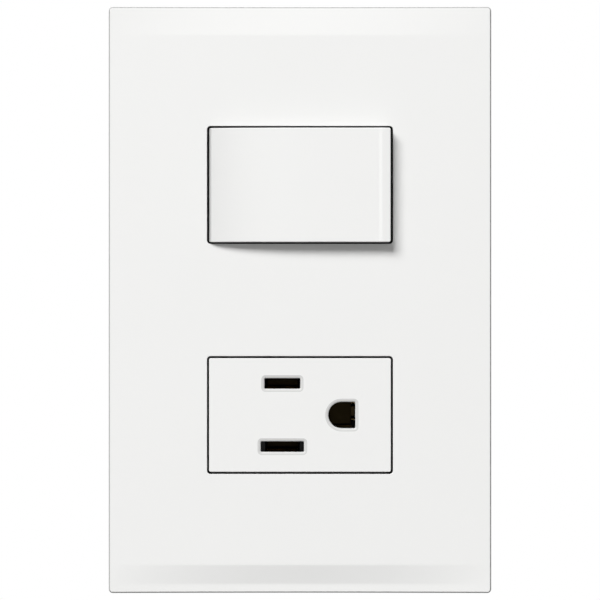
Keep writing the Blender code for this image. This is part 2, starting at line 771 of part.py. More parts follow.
def make_support_frame():
    """The frame that the box screws hold: sheet, rim, ribs, module windows and peg slots."""
    outline = rounded_rectangle(FRAME_WIDTH, FRAME_HEIGHT, FRAME_CORNER)
    frame = prism("support_frame", outline, "Y", RIM_FRONT, 0.0)
    inner = rounded_rectangle(
        FRAME_WIDTH - 2 * FRAME_RIM, FRAME_HEIGHT - 2 * FRAME_RIM, FRAME_CORNER - FRAME_RIM
    )
    cut(frame, prism("frame_tray", inner, "Y", RIM_FRONT - OVER, SHEET_FRONT))
    reach = FRAME_WIDTH / 2 - FRAME_RIM / 2
    half_rib = RIB_THICKNESS / 2
    levels = (RIM_FRONT, SHEET_FRONT + GAP)
    bridge_rib = MODULE_PITCH / 2 - COLLAR_HALF_HEIGHT - BRIDGE_RIB_FROM_COLLAR
    ear_rib = MODULE_PITCH / 2 + COLLAR_HALF_HEIGHT + EAR_RIB_FROM_COLLAR
    end = FRAME_HEIGHT / 2 - FRAME_RIM / 2
    for side in (-1, 1):
        span = sorted((side * (bridge_rib - RIB_THICKNESS), side * bridge_rib))
        join(frame, box("bridge_rib", (-reach, reach), levels, span))
        span = sorted((side * ear_rib, side * end))
        for x in (-EAR_RIB_X, EAR_RIB_X):
            join(frame, box("ear_rib", (x - half_rib, x + half_rib), levels, span))
    for side in (-1, 1):
        z = side * MODULE_PITCH / 2
        half_x = BODY_WIDTH / 2 + GAP
        half_z = BODY_HEIGHT / 2 + GAP
        cut(frame, box("body_window", (-half_x, half_x), (RIM_FRONT, OVER), (z - half_z, z + half_z)))
        lug_x = BODY_WIDTH / 2 + LUG_REACH + 2 * GAP
        lug_z = LUG_WIDTH / 2 + 2 * GAP
        cut(frame, box("lug_pocket", (-lug_x, lug_x), (-LUG_POCKET_DEPTH, OVER), (z - lug_z, z + lug_z)))
        slot_z = side * BOX_SCREW_SPACING / 2
        slot_height = 2 * (BOX_SCREW_RADIUS + GAP)
        corner = (slot_height - BOX_SLOT_END_FLAT) / 2
        slot = rounded_rectangle(BOX_SLOT_LENGTH, slot_height, corner, (0.0, slot_z))
        cut(frame, prism("box_slot", slot, "Y", RIM_FRONT, OVER))
        head_room = ((0, RIM_FRONT - OVER, slot_z), (0, SHEET_FRONT, slot_z))
        cut(frame, rod("head_room", BOX_HEAD_RADIUS + GAP, *head_room))
    cut(frame, *peg_slots())
    return piece(smooth(frame), "support_frame", "dark")


def make_box_screws():
    """The two screws through the frame's ears into the wall box."""
    sizes = (BOX_HEAD_RADIUS, BOX_HEAD_HEIGHT, BOX_SCREW_RADIUS, BOX_SCREW_LENGTH)
    for label, side in (("top", 1), ("bottom", -1)):
        place = (0.0, SHEET_FRONT - GAP, side * BOX_SCREW_SPACING / 2)
        screw("mounting_screw_" + label, "steel", sizes, place, -1)


# What both modules share


def module_body(label, parent):
    """A housing block with its flange and the snap lugs that catch behind the frame."""
    half_x = BODY_WIDTH / 2
    half_z = BODY_HEIGHT / 2
    block = box(label, (-half_x, half_x), (FLANGE_FRONT + GAP, BODY_REAR), (-half_z, half_z), parent)
    round_edges(block, BODY_EDGE)
    width = FACE_WIDTH - 2 * FLANGE_INSET
    height = FACE_HEIGHT - 2 * FLANGE_INSET
    flange = rounded_rectangle(width, height, FACE_CORNER)
    join(block, prism(label + "_flange", flange, "Y", FLANGE_FRONT, FLANGE_REAR, parent))
    catch = GAP - LUG_POCKET_DEPTH
    for side in (-1, 1):
        wedge = [
            (side * (half_x - GAP), catch),
            (side * (half_x + LUG_REACH), catch),
            (side * (half_x + LUG_REACH), catch + LUG_FLAT),
            (side * (half_x - GAP), catch + LUG_LENGTH),
        ]
        join(block, prism(label + "_lug", wedge, "Z", -LUG_WIDTH / 2, LUG_WIDTH / 2, parent))
    return block


# Switch module


def to_mid_travel(point):
    """A point of the pressed pose, about the pivot, in the rocker's own mid-travel frame."""
    x, y = point
    cosine = math.cos(HALF_TRAVEL)
    sine = math.sin(HALF_TRAVEL)
    return (x * cosine - y * sine, x * sine + y * cosine)


def crown_height(x):
    """Height of the pressed cap above the plate: rises fast from the left edge, then runs level."""
    crease = CAP_RIGHT - CAP_LIP
    across = (crease - x) / (crease + CAP_LEFT)
    rise = (1.0 - across**CROWN_POWER) ** CROWN_ROOT if across > 0 else 1.0
    return CAP_LOW_EDGE + (CAP_RISE - CAP_LOW_EDGE) * rise


def crown_line(inset=0.0, deeper=0.0):
    """The cap's front line in its own frame, from left to right, drawn in and set back."""
    crease = CAP_RIGHT - CAP_LIP
    points = []
    for i in range(CROWN_STEPS + 1):
        share = (i / CROWN_STEPS) ** 2
        x = -CAP_LEFT + (crease + CAP_LEFT) * share
        points.append((x, PLATE_FRONT - crown_height(x) - PIVOT_Y))
    points.append((CAP_RIGHT, PLATE_FRONT - CAP_RISE + CAP_LIP_DROP - PIVOT_Y))
    kept = []
    left = to_mid_travel(points[0])[0] + inset
    right = to_mid_travel(points[-1])[0] - inset
    for point in points:
        x, y = to_mid_travel(point)
        if left < x < right or not inset:
            kept.append((x, y + deeper))
    if inset:
        kept = [(left, kept[0][1])] + kept + [(right, kept[-1][1])]
    return kept


def cap_outline(inset, deeper, rear):
    """The cap's closed section, seen along Z; its end walls draw in towards the rear."""
    line = crown_line(inset, deeper)
    return [(line[0][0] + CAP_DRAFT, rear)] + line + [(line[-1][0] - CAP_DRAFT, rear)]


def ear_height():
    """Half the distance between the inner faces of the body's two bearing ears."""
    return BODY_HEIGHT / 2 - EAR_INSET - EAR_THICKNESS


def make_rocker(axis):
    """The rocker: crowned cap, two cheeks with trunnions, and the stem for the plunger."""
    half = FACE_HEIGHT / 2
    cap = prism("switch_rocker", cap_outline(0.0, 0.0, CAP_SKIRT), "Z", -half, half, axis)
    round_edges(cap, FACE_EDGE, 2, 40.0)
    inner = half - CAP_WALL
    hollow = cap_outline(CAP_WALL, CAP_WALL, CAP_SKIRT + OVER)
    cut(cap, prism("cap_hollow", hollow, "Z", -inner, inner, axis))
    under = PLATE_FRONT - CAP_RISE + CAP_WALL - PIVOT_Y
    face = ear_height() - GAP
    cheek = arc((0.0, 0.0), CHEEK_RADIUS, 0, 180, 12)
    cheek += [(-CHEEK_RADIUS, under), (CHEEK_RADIUS, under)]
    for side in (-1, 1):
        levels = sorted((side * face, side * (face - CHEEK_THICKNESS)))
        join(cap, prism("cheek", cheek, "Z", *levels, axis))
        reach = face + EAR_THICKNESS
        ends = ((0, 0, side * (face - GAP)), (0, 0, side * reach))
        join(cap, rod("trunnion", TRUNNION_RADIUS, *ends, axis, SMALL_ROUND_STEPS))
    join(cap, rod("stem", STEM_RADIUS, (0, under, 0), (0, STEM_LENGTH, 0), axis))
    bottom = STEM_LENGTH - STEM_BORE_DEPTH
    cut(cap, rod("stem_bore", STEM_BORE_RADIUS, (0, bottom, 0), (0, STEM_LENGTH + OVER, 0), axis))
    return piece(smooth(cap), "switch_rocker", "white")


def make_plunger(axis):
    """The plunger that slides in the stem, with its spring behind it."""
    radius = STEM_BORE_RADIUS - GAP
    end = PLUNGER_END
    nose = arc((0.0, end - radius), radius, 90, 0, 6)
    profile = nose + [(radius, end - PLUNGER_LENGTH), (0.0, end - PLUNGER_LENGTH)]
    plunger = turned("rocker_plunger", profile, (0, 0, 0), 1, axis, SMALL_ROUND_STEPS)
    piece(smooth(plunger), "rocker_plunger", "amber")
    low = STEM_LENGTH - STEM_BORE_DEPTH + GAP + SPRING_WIRE_RADIUS
    high = end - PLUNGER_LENGTH - GAP - SPRING_WIRE_RADIUS
    coil = STEM_BORE_RADIUS - GAP - SPRING_WIRE_RADIUS
    curve = bpy.data.curves.new("plunger_spring", "CURVE")
    curve.dimensions = "3D"
    curve.bevel_depth = SPRING_WIRE_RADIUS
    curve.bevel_resolution = 1
    curve.use_fill_caps = True
    spline = curve.splines.new("POLY")
    count = SPRING_TURNS * SPRING_POINTS_A_TURN
    spline.points.add(count)
    for i, point in enumerate(spline.points):
        angle = math.tau * i / SPRING_POINTS_A_TURN
        level = low + (high - low) * i / count
        point.co = (coil * math.cos(angle), level, coil * math.sin(angle), 1.0)
    guide = bpy.data.objects.new("spring_guide", curve)
    TOOL_COLLECTION.objects.link(guide)
    graph = bpy.context.evaluated_depsgraph_get()
    mesh = bpy.data.meshes.new_from_object(guide.evaluated_get(graph))
    bpy.data.objects.remove(guide, do_unlink=True)
    bm = bmesh.new()
    bm.from_mesh(mesh)
    bpy.data.meshes.remove(mesh)
    bmesh.ops.remove_doubles(bm, verts=bm.verts, dist=WELD)
    spring = add_object("plunger_spring", mesh_from(bm, "plunger_spring"), axis)
    return piece(smooth(spring), "plunger_spring", "steel")


def contact_rivet(label, face_y, body_front, body_rear, facing, x, parent):
    """A silver contact riveted through a strip; facing is the way its face looks along Y."""
    if facing > 0:
        seat, back = body_rear + GAP, body_front - GAP
    else:
        seat, back = body_front - GAP, body_rear + GAP
    height = abs(face_y - seat)
    profile = [
        (0.0, height),
        (TIP_FACE_RADIUS, height),
        (TIP_RADIUS, height * TIP_SHOULDER_SHARE),
        (TIP_RADIUS, 0.0),
        (TIP_SHANK_RADIUS, 0.0),
        (TIP_SHANK_RADIUS, -abs(seat - back)),
        (TIP_RIVET_RADIUS, -abs(seat - back)),
        (TIP_RIVET_RADIUS, -abs(seat - back) - TIP_RIVET_HEIGHT),
        (0.0, -abs(seat - back) - TIP_RIVET_HEIGHT),
    ]
    rivet = turned(label, profile, (x, seat, 0), facing, parent, SMALL_ROUND_STEPS)
    return piece(smooth(rivet), label, "silver")


def rivet_hole(x, front, rear, parent):
    """Clearance for a rivet's shank through a strip."""
    radius = TIP_SHANK_RADIUS + GAP
    return rod("rivet_hole", radius, (x, front - GAP, 0), (x, rear + GAP, 0), parent, SMALL_ROUND_STEPS)


def make_seesaw(axis):
    """The see-saw blade, notched where it sits on the knife edge, and its contact."""
    top = BLADE_TOP - KNIFE_EDGE_Y
    bottom = BLADE_BOTTOM - KNIFE_EDGE_Y
    outline = [
        (-BLADE_SHORT_ARM, top),
        (BLADE_ARM, top),
        (BLADE_ARM, bottom),
        (NOTCH_HALF_WIDTH, bottom),
        (0.0, bottom - NOTCH_DEPTH),
        (-NOTCH_HALF_WIDTH, bottom),
        (-BLADE_SHORT_ARM, bottom),
    ]
    half = BLADE_WIDTH / 2
    blade = prism("moving_contact", outline, "Z", -half, half, axis)
    cut(blade, rivet_hole(TIP_X, top, bottom, axis))
    piece(blade, "moving_contact", "brass")
    contact_rivet("moving_contact_tip", bottom + GAP + TIP_HEIGHT, top, bottom, 1, TIP_X, axis)


def make_switch_terminals(module):
    """The strip with the knife edge, and the one with the fixed contact."""
    half = BLADE_WIDTH / 2
    strip = STRIP / 2
    middle = (STRIP_FRONT + STRIP_REAR) / 2
    knife = [
        (0.0, KNIFE_EDGE_Y),
        (strip, KNIFE_EDGE_Y + STRIP),
        (strip, STRIP_REAR),
        (-STRIP_END, STRIP_REAR),
        (-STRIP_END, STRIP_FRONT),
        (-strip, STRIP_FRONT),
        (-strip, KNIFE_EDGE_Y + STRIP),
    ]
    common = prism("common_terminal", knife, "Z", -half, half, module)
    cut(common, screw_hole("common_hole", COMMON_SCREW_X, 0.0, module))
    piece(common, "common_terminal", "brass")
    shelf = (SHELF_FRONT + SHELF_REAR) / 2
    path = [
        (SHELF_INNER_X, shelf),
        (STRIP_END - strip, shelf),
        (STRIP_END - strip, middle),
        (BARRIER_RIGHT + 2 * GAP, middle),
    ]
    fixed = prism("fixed_terminal", strip_outline(path, STRIP), "Z", -half, half, module)
    cut(fixed, screw_hole("fixed_hole", LOAD_SCREW_X, 0.0, module))
    cut(fixed, rivet_hole(TIP_X, SHELF_FRONT, SHELF_REAR, module))
    piece(fixed, "fixed_terminal", "brass")
    contact_rivet("fixed_contact_tip", FIXED_TIP_FACE, SHELF_FRONT, SHELF_REAR, -1, TIP_X, module)
    terminal("switch_common", COMMON_SCREW_X, 0.0, module)
    terminal("switch_load", LOAD_SCREW_X, 0.0, module)


def wire_holes(label, x, z, direction, parent):
    """Two holes for stripped wires, one on each side of a terminal screw."""
    tools = []
    offset = TERMINAL_SCREW_RADIUS + WIRE_HOLE_RADIUS
    y = CLAMP_FRONT + WIRE_HOLE_BEHIND_STRIP
    dx, dz = direction
    far = BODY_WIDTH
    for side in (-1, 1):
        start = (x + side * offset * abs(dz), y, z + side * offset * abs(dx))
        end = (start[0] + dx * far, y, start[2] + dz * far)
        tools.append(rod(label, WIRE_HOLE_RADIUS, start, end, parent, SMALL_ROUND_STEPS))
    return tools


def make_switch_body(module):
    """The switch housing: mechanism chamber in front, two terminal pockets behind."""
    body = module_body("switch_body", module)
    half_z = BODY_HEIGHT / 2 - BODY_WALL
    height = (-half_z, half_z)
    depth = (FLANGE_FRONT - OVER, PARTITION_FRONT)
    cut(body, box("chamber", (-POCKET_END, POCKET_END), depth, height, module))
    depth = (PARTITION_REAR, BODY_REAR + OVER)
    cut(body, box("common_pocket", (-POCKET_END, BARRIER_LEFT), depth, height, module))
    cut(body, box("load_pocket", (BARRIER_RIGHT, POCKET_END), depth, height, module))
    half = BLADE_WIDTH / 2 + GAP
    depth = (PARTITION_FRONT - OVER, PARTITION_REAR + OVER)
    leg = (STRIP_END - STRIP - GAP, STRIP_END + GAP)
    cut(body, box("knife_slot", (-STRIP / 2 - GAP, STRIP / 2 + GAP), depth, (-half, half), module))
    cut(body, box("leg_slot", leg, depth, (-half, half), module))
    for x in (COMMON_SCREW_X, LOAD_SCREW_X):
        cut(body, screw_hole("screw_relief", x, 0.0, module))
        cut(body, *wire_holes("switch_wire", x, 0.0, (0, 1), module))
    radius = TRUNNION_RADIUS + GAP + EAR_EDGE
    ear = arc((0.0, PIVOT_Y), radius, 180, 360, 12)
    ear += [(radius + EAR_EDGE, FLANGE_FRONT + GAP), (-radius - EAR_EDGE, FLANGE_FRONT + GAP)]
    inner = ear_height()
    for side in (-1, 1):
        levels = sorted((side * inner, side * (inner + EAR_THICKNESS)))
        join(body, prism("bearing_ear", ear, "Z", *levels, module))
        ends = ((0, PIVOT_Y, side * (inner - GAP)), (0, PIVOT_Y, side * (inner + EAR_THICKNESS + GAP)))
        cut(body, rod("bearing_hole", TRUNNION_RADIUS + GAP, *ends, module, SMALL_ROUND_STEPS))
    return piece(smooth(body), "switch_body", "grey")


def make_switch():
    """The switch module at the upper window."""
    module = empty("switch_module", (0, 0, MODULE_PITCH / 2))
    rocker_axis = empty("rocker_axis", (0, PIVOT_Y, 0), module, -HALF_TRAVEL)
    seesaw_axis = empty("seesaw_axis", (0, KNIFE_EDGE_Y, 0), module, SEESAW_TILT)
    make_switch_body(module)
    make_switch_terminals(module)
    make_seesaw(seesaw_axis)
    make_rocker(rocker_axis)
    make_plunger(rocker_axis)


# Socket module


def socket_holes():
    """The three plug holes: their outline for any growth, and a label."""
    half = BLADE_PITCH / 2
    return {
        "line": lambda grow=0.0: slot_outline(LINE_SLOT, half, grow),
        "neutral": lambda grow=0.0: slot_outline(NEUTRAL_SLOT, -half, grow),
        "earth": earth_outline,
    }


def fixing_places():
    """Where the three screws that hold the face on the base stand."""
    left = BODY_WIDTH / 2 - FIXING_LEFT_INSET
    right = BODY_WIDTH / 2 - FIXING_RIGHT_INSET
    up = BODY_HEIGHT / 2 - FIXING_END_INSET
    return [(-left, 0.0), (right, up), (right, -up)]


def make_socket_face(module):
    """The socket's face: thin front, skirt, a shroud round each plug hole and screw bosses."""
    front = PLATE_FRONT
    inner = front + SOCKET_WALL
    rear = FLANGE_FRONT - GAP
    outline = rounded_rectangle(FACE_WIDTH, FACE_HEIGHT, FACE_CORNER)
    face = round_edges(prism("socket_face", outline, "Y", front, rear, module), FACE_EDGE)
    hollow = rounded_rectangle(
        FACE_WIDTH - 2 * SKIRT_WALL, FACE_HEIGHT - 2 * SKIRT_WALL, FACE_CORNER
    )
    cut(face, prism("face_hollow", hollow, "Y", inner, rear + OVER, module))
    for label, outline_of in socket_holes().items():
        join(face, prism(label + "_shroud", outline_of(SHROUD_WALL), "Y", inner - GAP, rear, module))
    for x, z in fixing_places():
        boss = FIXING_SHANK_RADIUS + GAP + BOSS_WALL
        join(face, rod("boss", boss, (x, inner - GAP, z), (x, rear, z), module, SMALL_ROUND_STEPS))
    for label, outline_of in socket_holes().items():
        sections = (
            (front - SLOT_CHAMFER, 2 * SLOT_CHAMFER),
            (front + SLOT_CHAMFER, 0.0),
            (rear + OVER, 0.0),
        )
        rings = [[(x, level, z) for x, z in outline_of(grow)] for level, grow in sections]
        cut(face, loft(label + "_hole", rings, module))
    for x, z in fixing_places():
        pilot = FIXING_SHANK_RADIUS + GAP
        depth = inner - FIXING_BITE + GAP
        cut(face, rod("pilot", pilot, (x, depth - GAP, z), (x, rear + OVER, z), module, SMALL_ROUND_STEPS))
    return piece(smooth(face), "socket_face", "white")


def clip_path(grip):
    """The middle line (y, z) of a two-leaf clip that grips with the given half gap at its waist."""
    front = FLANGE_FRONT + CLIP_BELOW_FACE
    floor = PARTITION_FRONT - CLIP_BEFORE_FLOOR
    waist = grip + CLIP_THICKNESS / 2
    leaf = [
        (front, waist + CLIP_FLARE),
        (front + CLIP_FLARE_LENGTH, waist),
        (front + CLIP_FLARE_LENGTH + CLIP_GRIP_LENGTH, waist),
        (floor - CLIP_BELLY, waist + CLIP_BELLY),
        (floor, waist),
    ]
    return leaf + [(y, -z) for y, z in reversed(leaf)]


def clip_room(grip):
    """Half the height that a clip needs in its cavity."""
    return grip + CLIP_THICKNESS + CLIP_FLARE + GAP


def blade_grip():
    """Half the waist gap of a blade clip."""
    return PLUG_BLADE / 2 - CLIP_GRIP


def pin_grip():
    """Half the waist gap of the earth clip."""
    return PLUG_PIN / 2 - CLIP_GRIP


def make_clip(label, grip, x, z, width, leg_x, plate_end, screw_x, tail_z, module):
    """A spring clip with the strip that runs from its web to its terminal screw."""
    outline = [(y, z + v) for y, v in strip_outline(clip_path(grip), CLIP_THICKNESS)]
    clip = prism(label, outline, "X", x - width / 2, x + width / 2, module)
    middle = (STRIP_FRONT + STRIP_REAR) / 2
    web = PARTITION_FRONT - CLIP_BEFORE_FLOOR
    tail = strip_outline([(leg_x, web), (leg_x, middle), (plate_end, middle)], STRIP)
    half = TAIL_WIDTH / 2
    join(clip, prism(label + "_tail", tail, "Z", tail_z - half, tail_z + half, module))
    cut(clip, screw_hole(label + "_screw_hole", screw_x, tail_z, module))
    return piece(clip, label, "brass")


def live_places():
    """Labels and sides of the line and neutral contacts."""
    return (("line", 1), ("neutral", -1))


def make_socket_contacts(module):
    """Line, neutral and earth clips with their terminals."""
    for label, side in live_places():
        z = side * BLADE_PITCH / 2
        tail_z = side * LIVE_TERMINAL_Z
        places = (LIVE_LEG_X, -STRIP_END, LIVE_SCREW_X, tail_z)
        make_clip(label + "_contact", blade_grip(), BLADE_LINE_X, z, CLIP_WIDTH, *places, module)
        terminal("socket_" + label, LIVE_SCREW_X, tail_z, module)
    places = (EARTH_LEG_X, STRIP_END, EARTH_SCREW_X, 0.0)
    make_clip("earth_contact", pin_grip(), EARTH_X, 0.0, EARTH_CLIP_WIDTH, *places, module)
    terminal("socket_earth", EARTH_SCREW_X, 0.0, module)


def make_socket_base(module):
    """The socket housing: three contact cavities in front, three pockets and a core behind."""
    body = module_body("socket_base", module)
    front = FLANGE_FRONT - OVER
    rear = BODY_REAR + OVER
    through = (PARTITION_FRONT - CLIP_BEFORE_FLOOR - CLIP_THICKNESS / 2 - GAP, PARTITION_REAR + OVER)
    tail = TAIL_WIDTH / 2 + GAP
    leg_half = STRIP / 2 + GAP
    for label, side in live_places():
        z = side * BLADE_PITCH / 2
        room = clip_room(blade_grip())
        span = (BLADE_LINE_X - CLIP_WIDTH / 2 - GAP, BLADE_LINE_X + CLIP_WIDTH / 2 + GAP)
        cut(body, box(label + "_cavity", span, (front, PARTITION_FRONT), (z - room, z + room), module))
        mid = side * LIVE_TERMINAL_Z
        leg = (LIVE_LEG_X - leg_half, LIVE_LEG_X + leg_half)
        levels = (mid - CLAMP_ROOM, mid + CLAMP_ROOM)
        cut(body, box(label + "_pocket", (-POCKET_END, leg[1]), (PARTITION_REAR, rear), levels, module))
        cut(body, box(label + "_leg_slot", leg, through, (mid - tail, mid + tail), module))
        cut(body, screw_hole("screw_relief", LIVE_SCREW_X, mid, module))
        cut(body, *wire_holes(label + "_wire", LIVE_SCREW_X, mid, (0, side), module))
    room = clip_room(pin_grip())
    low = EARTH_X - EARTH_RADIUS - GAP
    high = EARTH_X + EARTH_FLAT + GAP
    cut(body, box("earth_cavity", (low, high), (front, PARTITION_FRONT), (-room, room), module))
    leg = (EARTH_LEG_X - leg_half, EARTH_LEG_X + leg_half)
    pocket = (min(leg[0], EARTH_SCREW_X - CLAMP_ROOM), POCKET_END)
    levels = (-CLAMP_ROOM, CLAMP_ROOM)
    cut(body, box("earth_pocket", pocket, (PARTITION_REAR, rear), levels, module))
    cut(body, box("earth_leg_slot", leg, through, (-tail, tail), module))
    cut(body, screw_hole("screw_relief", EARTH_SCREW_X, 0.0, module))
    cut(body, *wire_holes("earth_wire", EARTH_SCREW_X, 0.0, (1, 0), module))
    core = (LIVE_LEG_X + leg_half + CORE_WALL, pocket[0] - CORE_WALL)
    end = BODY_HEIGHT / 2 - CORE_WALL
    cut(body, box("core", core, (PARTITION_REAR, rear), (-end, end), module))
    for x, z in fixing_places():
        shank = FIXING_SHANK_RADIUS + GAP
        cut(body, rod("fixing_hole", shank, (x, front, z), (x, rear, z), module, SMALL_ROUND_STEPS))
        head = FIXING_HEAD_RADIUS + GAP
        cut(body, rod("fixing_seat", head, (x, FIXING_SEAT, z), (x, rear, z), module))
    return piece(smooth(body), "socket_base", "grey")


def make_fixing_screws(module):
    """The three long screws that hold the socket's face on its base."""
    seat = FIXING_SEAT + GAP
    end = PLATE_FRONT + SOCKET_WALL - FIXING_BITE + GAP
    sizes = (FIXING_HEAD_RADIUS, FIXING_HEAD_HEIGHT, FIXING_SHANK_RADIUS, seat - end)
    names = ("left", "upper_right", "lower_right")
    for label, (x, z) in zip(names, fixing_places()):
        screw("socket_screw_" + label, "steel", sizes, (x, seat, z), 1, module)


def make_socket():
    """The socket module at the lower window."""
    module = empty("socket_module", (0, 0, -MODULE_PITCH / 2))
    make_socket_base(module)
    make_socket_face(module)
    make_socket_contacts(module)
    make_fixing_screws(module)


def main():
    """Build the whole part."""
    clear_scene()
    make_collections()
    make_cover_plate()
    make_support_frame()
    make_box_screws()
    make_switch()
    make_socket()


main()
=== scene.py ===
"""Looks of a wall switch and socket that share one cover plate.

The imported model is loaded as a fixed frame: X is right, Z is up and the front faces -Y. Each
sub-assembly is a class that takes its sizes from the frame, works its surfaces out with numpy and
dresses them in a procedural finish. Lengths are metres, and MM turns millimetres into them.
"""

import logging
import math
from dataclasses import dataclass, field, replace
from enum import Enum
from functools import partial
from typing import Any, Callable

import bmesh
import bpy
import numpy as np
from mathutils import Matrix, Vector


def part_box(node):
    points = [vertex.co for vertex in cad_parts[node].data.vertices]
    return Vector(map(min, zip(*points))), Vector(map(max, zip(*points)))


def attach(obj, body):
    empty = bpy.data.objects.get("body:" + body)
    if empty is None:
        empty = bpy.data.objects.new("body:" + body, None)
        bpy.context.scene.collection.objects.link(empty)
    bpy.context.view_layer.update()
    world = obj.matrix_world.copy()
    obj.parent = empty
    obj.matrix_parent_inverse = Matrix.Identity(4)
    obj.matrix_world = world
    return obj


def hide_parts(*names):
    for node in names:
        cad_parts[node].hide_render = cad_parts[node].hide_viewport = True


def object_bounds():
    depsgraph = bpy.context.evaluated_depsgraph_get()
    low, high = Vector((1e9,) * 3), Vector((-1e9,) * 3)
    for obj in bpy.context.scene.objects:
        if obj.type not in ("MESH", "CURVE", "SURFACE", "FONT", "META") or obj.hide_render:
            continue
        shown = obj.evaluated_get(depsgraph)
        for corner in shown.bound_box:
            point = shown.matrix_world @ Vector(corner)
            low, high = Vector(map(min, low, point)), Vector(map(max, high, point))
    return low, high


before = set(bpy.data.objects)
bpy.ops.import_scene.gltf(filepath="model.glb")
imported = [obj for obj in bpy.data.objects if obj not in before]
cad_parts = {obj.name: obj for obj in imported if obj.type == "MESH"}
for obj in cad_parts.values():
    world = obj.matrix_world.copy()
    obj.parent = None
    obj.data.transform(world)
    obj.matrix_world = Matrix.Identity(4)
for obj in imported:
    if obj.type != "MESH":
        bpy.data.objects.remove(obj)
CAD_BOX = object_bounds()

logging.basicConfig(level=logging.INFO, format="%(message)s")
LOG = logging.getLogger("switch_and_socket")

Array = np.ndarray
Level = Array | float
Surface = Callable[[Array, Array], Level]
Socket = bpy.types.NodeSocket
MM = 0.001
WELD = 0.001 * MM
QUARTER = math.pi / 2
SHARP_ANGLE = math.radians(32.0)
SOFT_SHARP_ANGLE = math.radians(22.0)
FLAT_ANGLE = math.radians(0.5)
EDGE_ANGLE = math.radians(40.0)
MOST_CHANGE = 0.04
CORNER_STEPS = 4
FAR = 100.0 * MM
TERMINALS = ("switch_common", "switch_load", "socket_line", "socket_neutral", "socket_earth")
FACE_SCREWS = ("socket_screw_left", "socket_screw_upper_right", "socket_screw_lower_right")


class Body(Enum):
    """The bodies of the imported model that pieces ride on."""

    BASE = "base"
    ROCKER = "rocker"
    SEE_SAW = "see_saw"


class Slot(Enum):
    """Material slot names for the new pieces; they are passed along but not used."""

    WHITE = "white_plastic"
    FRAME = "frame_resin"
    BODY = "body_resin"
    BRASS = "brass_strip"
    STEEL = "zinc_steel"


class Axis(Enum):
    """The axis of a turned shape, as its place among the coordinates."""

    Y = 1
    Z = 2


# Node graphs and finishes


class Graph:
    """Short calls that add nodes to a node tree and join them."""

    def __init__(self, tree: bpy.types.NodeTree) -> None:
        """Keep the tree that nodes go into."""
        self.tree = tree

    def feed(self, node: bpy.types.Node, inputs: dict[Any, Any]) -> None:
        """Set a node's inputs, by name or place, each to a value or from a socket."""
        for name, value in inputs.items():
            if isinstance(value, Socket):
                self.tree.links.new(value, node.inputs[name])
            else:
                node.inputs[name].default_value = value

    def add(self, kind: str, inputs: dict[Any, Any] | None = None, **settings: Any) -> bpy.types.Node:
        """Add a node.

        Args:
            kind: the node's type name.
            inputs: what its inputs are fed.
            settings: attributes of the node itself.

        Returns:
            The new node.
        """
        node = self.tree.nodes.new(kind)
        for name, value in settings.items():
            setattr(node, name, value)
        self.feed(node, inputs or {})
        return node

    def math(
        self, operation: str, first: Any, second: Any = 0.0, third: Any = 0.0, clamp: bool = False
    ) -> Socket:
        """One Math node; returns its value."""
        inputs = {0: first, 1: second, 2: third}
        return self.add("ShaderNodeMath", inputs, operation=operation, use_clamp=clamp).outputs[0]

    def noise(self, place: Socket, scale: Any, detail: float) -> Socket:
        """One Noise Texture node; returns its value."""
        inputs = {"Vector": place, "Scale": scale, "Detail": detail}
        return self.add("ShaderNodeTexNoise", inputs).outputs[0]

    def ramp(
        self, value: Socket, start: float, stop: float, near: float, far: float, kind: str = "SMOOTHSTEP"
    ) -> Socket:
        """One Map Range node, near at the start and far at the stop; returns its result."""
        inputs = {"Value": value, "From Min": start, "From Max": stop, "To Min": near, "To Max": far}
        return self.add("ShaderNodeMapRange", inputs, interpolation_type=kind).outputs[0]

    def toned(self, colour: Socket, value: Socket) -> Socket:
        """A colour with its value multiplied."""
        return self.add("ShaderNodeHueSaturation", {"Value": value, "Color": colour}).outputs[0]

    def group(self, name: str, inputs: dict[str, Any]) -> bpy.types.Node:
        """A placed copy of one of the shared groups."""
        return self.add("ShaderNodeGroup", inputs, node_tree=bpy.data.node_groups[name])


class Group(Graph):
    """A shader node group while it is built: given holds its inputs, and close ends it."""

    def __init__(self, name: str, inputs: dict[str, Any]) -> None:
        """Make the group and its input sockets.

        Args:
            name: the group's name.
            inputs: socket names with their default values, or None where there is none.
        """
        super().__init__(bpy.data.node_groups.new(name, "ShaderNodeTree"))
        for label, default in inputs.items():
            socket = self.socket(label, "INPUT")
            if default is not None:
                socket.default_value = default
        self.given = self.add("NodeGroupInput").outputs

    def socket(self, label: str, direction: str) -> Any:
        """A new socket: Vector and Color have their own types, and the rest are numbers."""
        kind = {"Vector": "NodeSocketVector", "Color": "NodeSocketColor"}.get(label, "NodeSocketFloat")
        return self.tree.interface.new_socket(label, in_out=direction, socket_type=kind)

    def close(self, outputs: dict[str, Socket]) -> None:
        """Make the output sockets, named with what feeds them."""
        for label in outputs:
            self.socket(label, "OUTPUT")
        self.add("NodeGroupOutput", outputs)


def make_grain() -> None:
    """Height of a finely textured surface: two noises, the finer one 2.7 times as dense."""
    group = Group("surface_grain", {"Vector": None, "Scale": 6000.0})
    place, scale = group.given["Vector"], group.given["Scale"]
    coarse = group.noise(place, scale, 2.0)
    fine = group.noise(place, group.math("MULTIPLY", scale, 2.7), 1.0)
    group.close({"Height": group.math("MULTIPLY_ADD", fine, 0.5, coarse)})


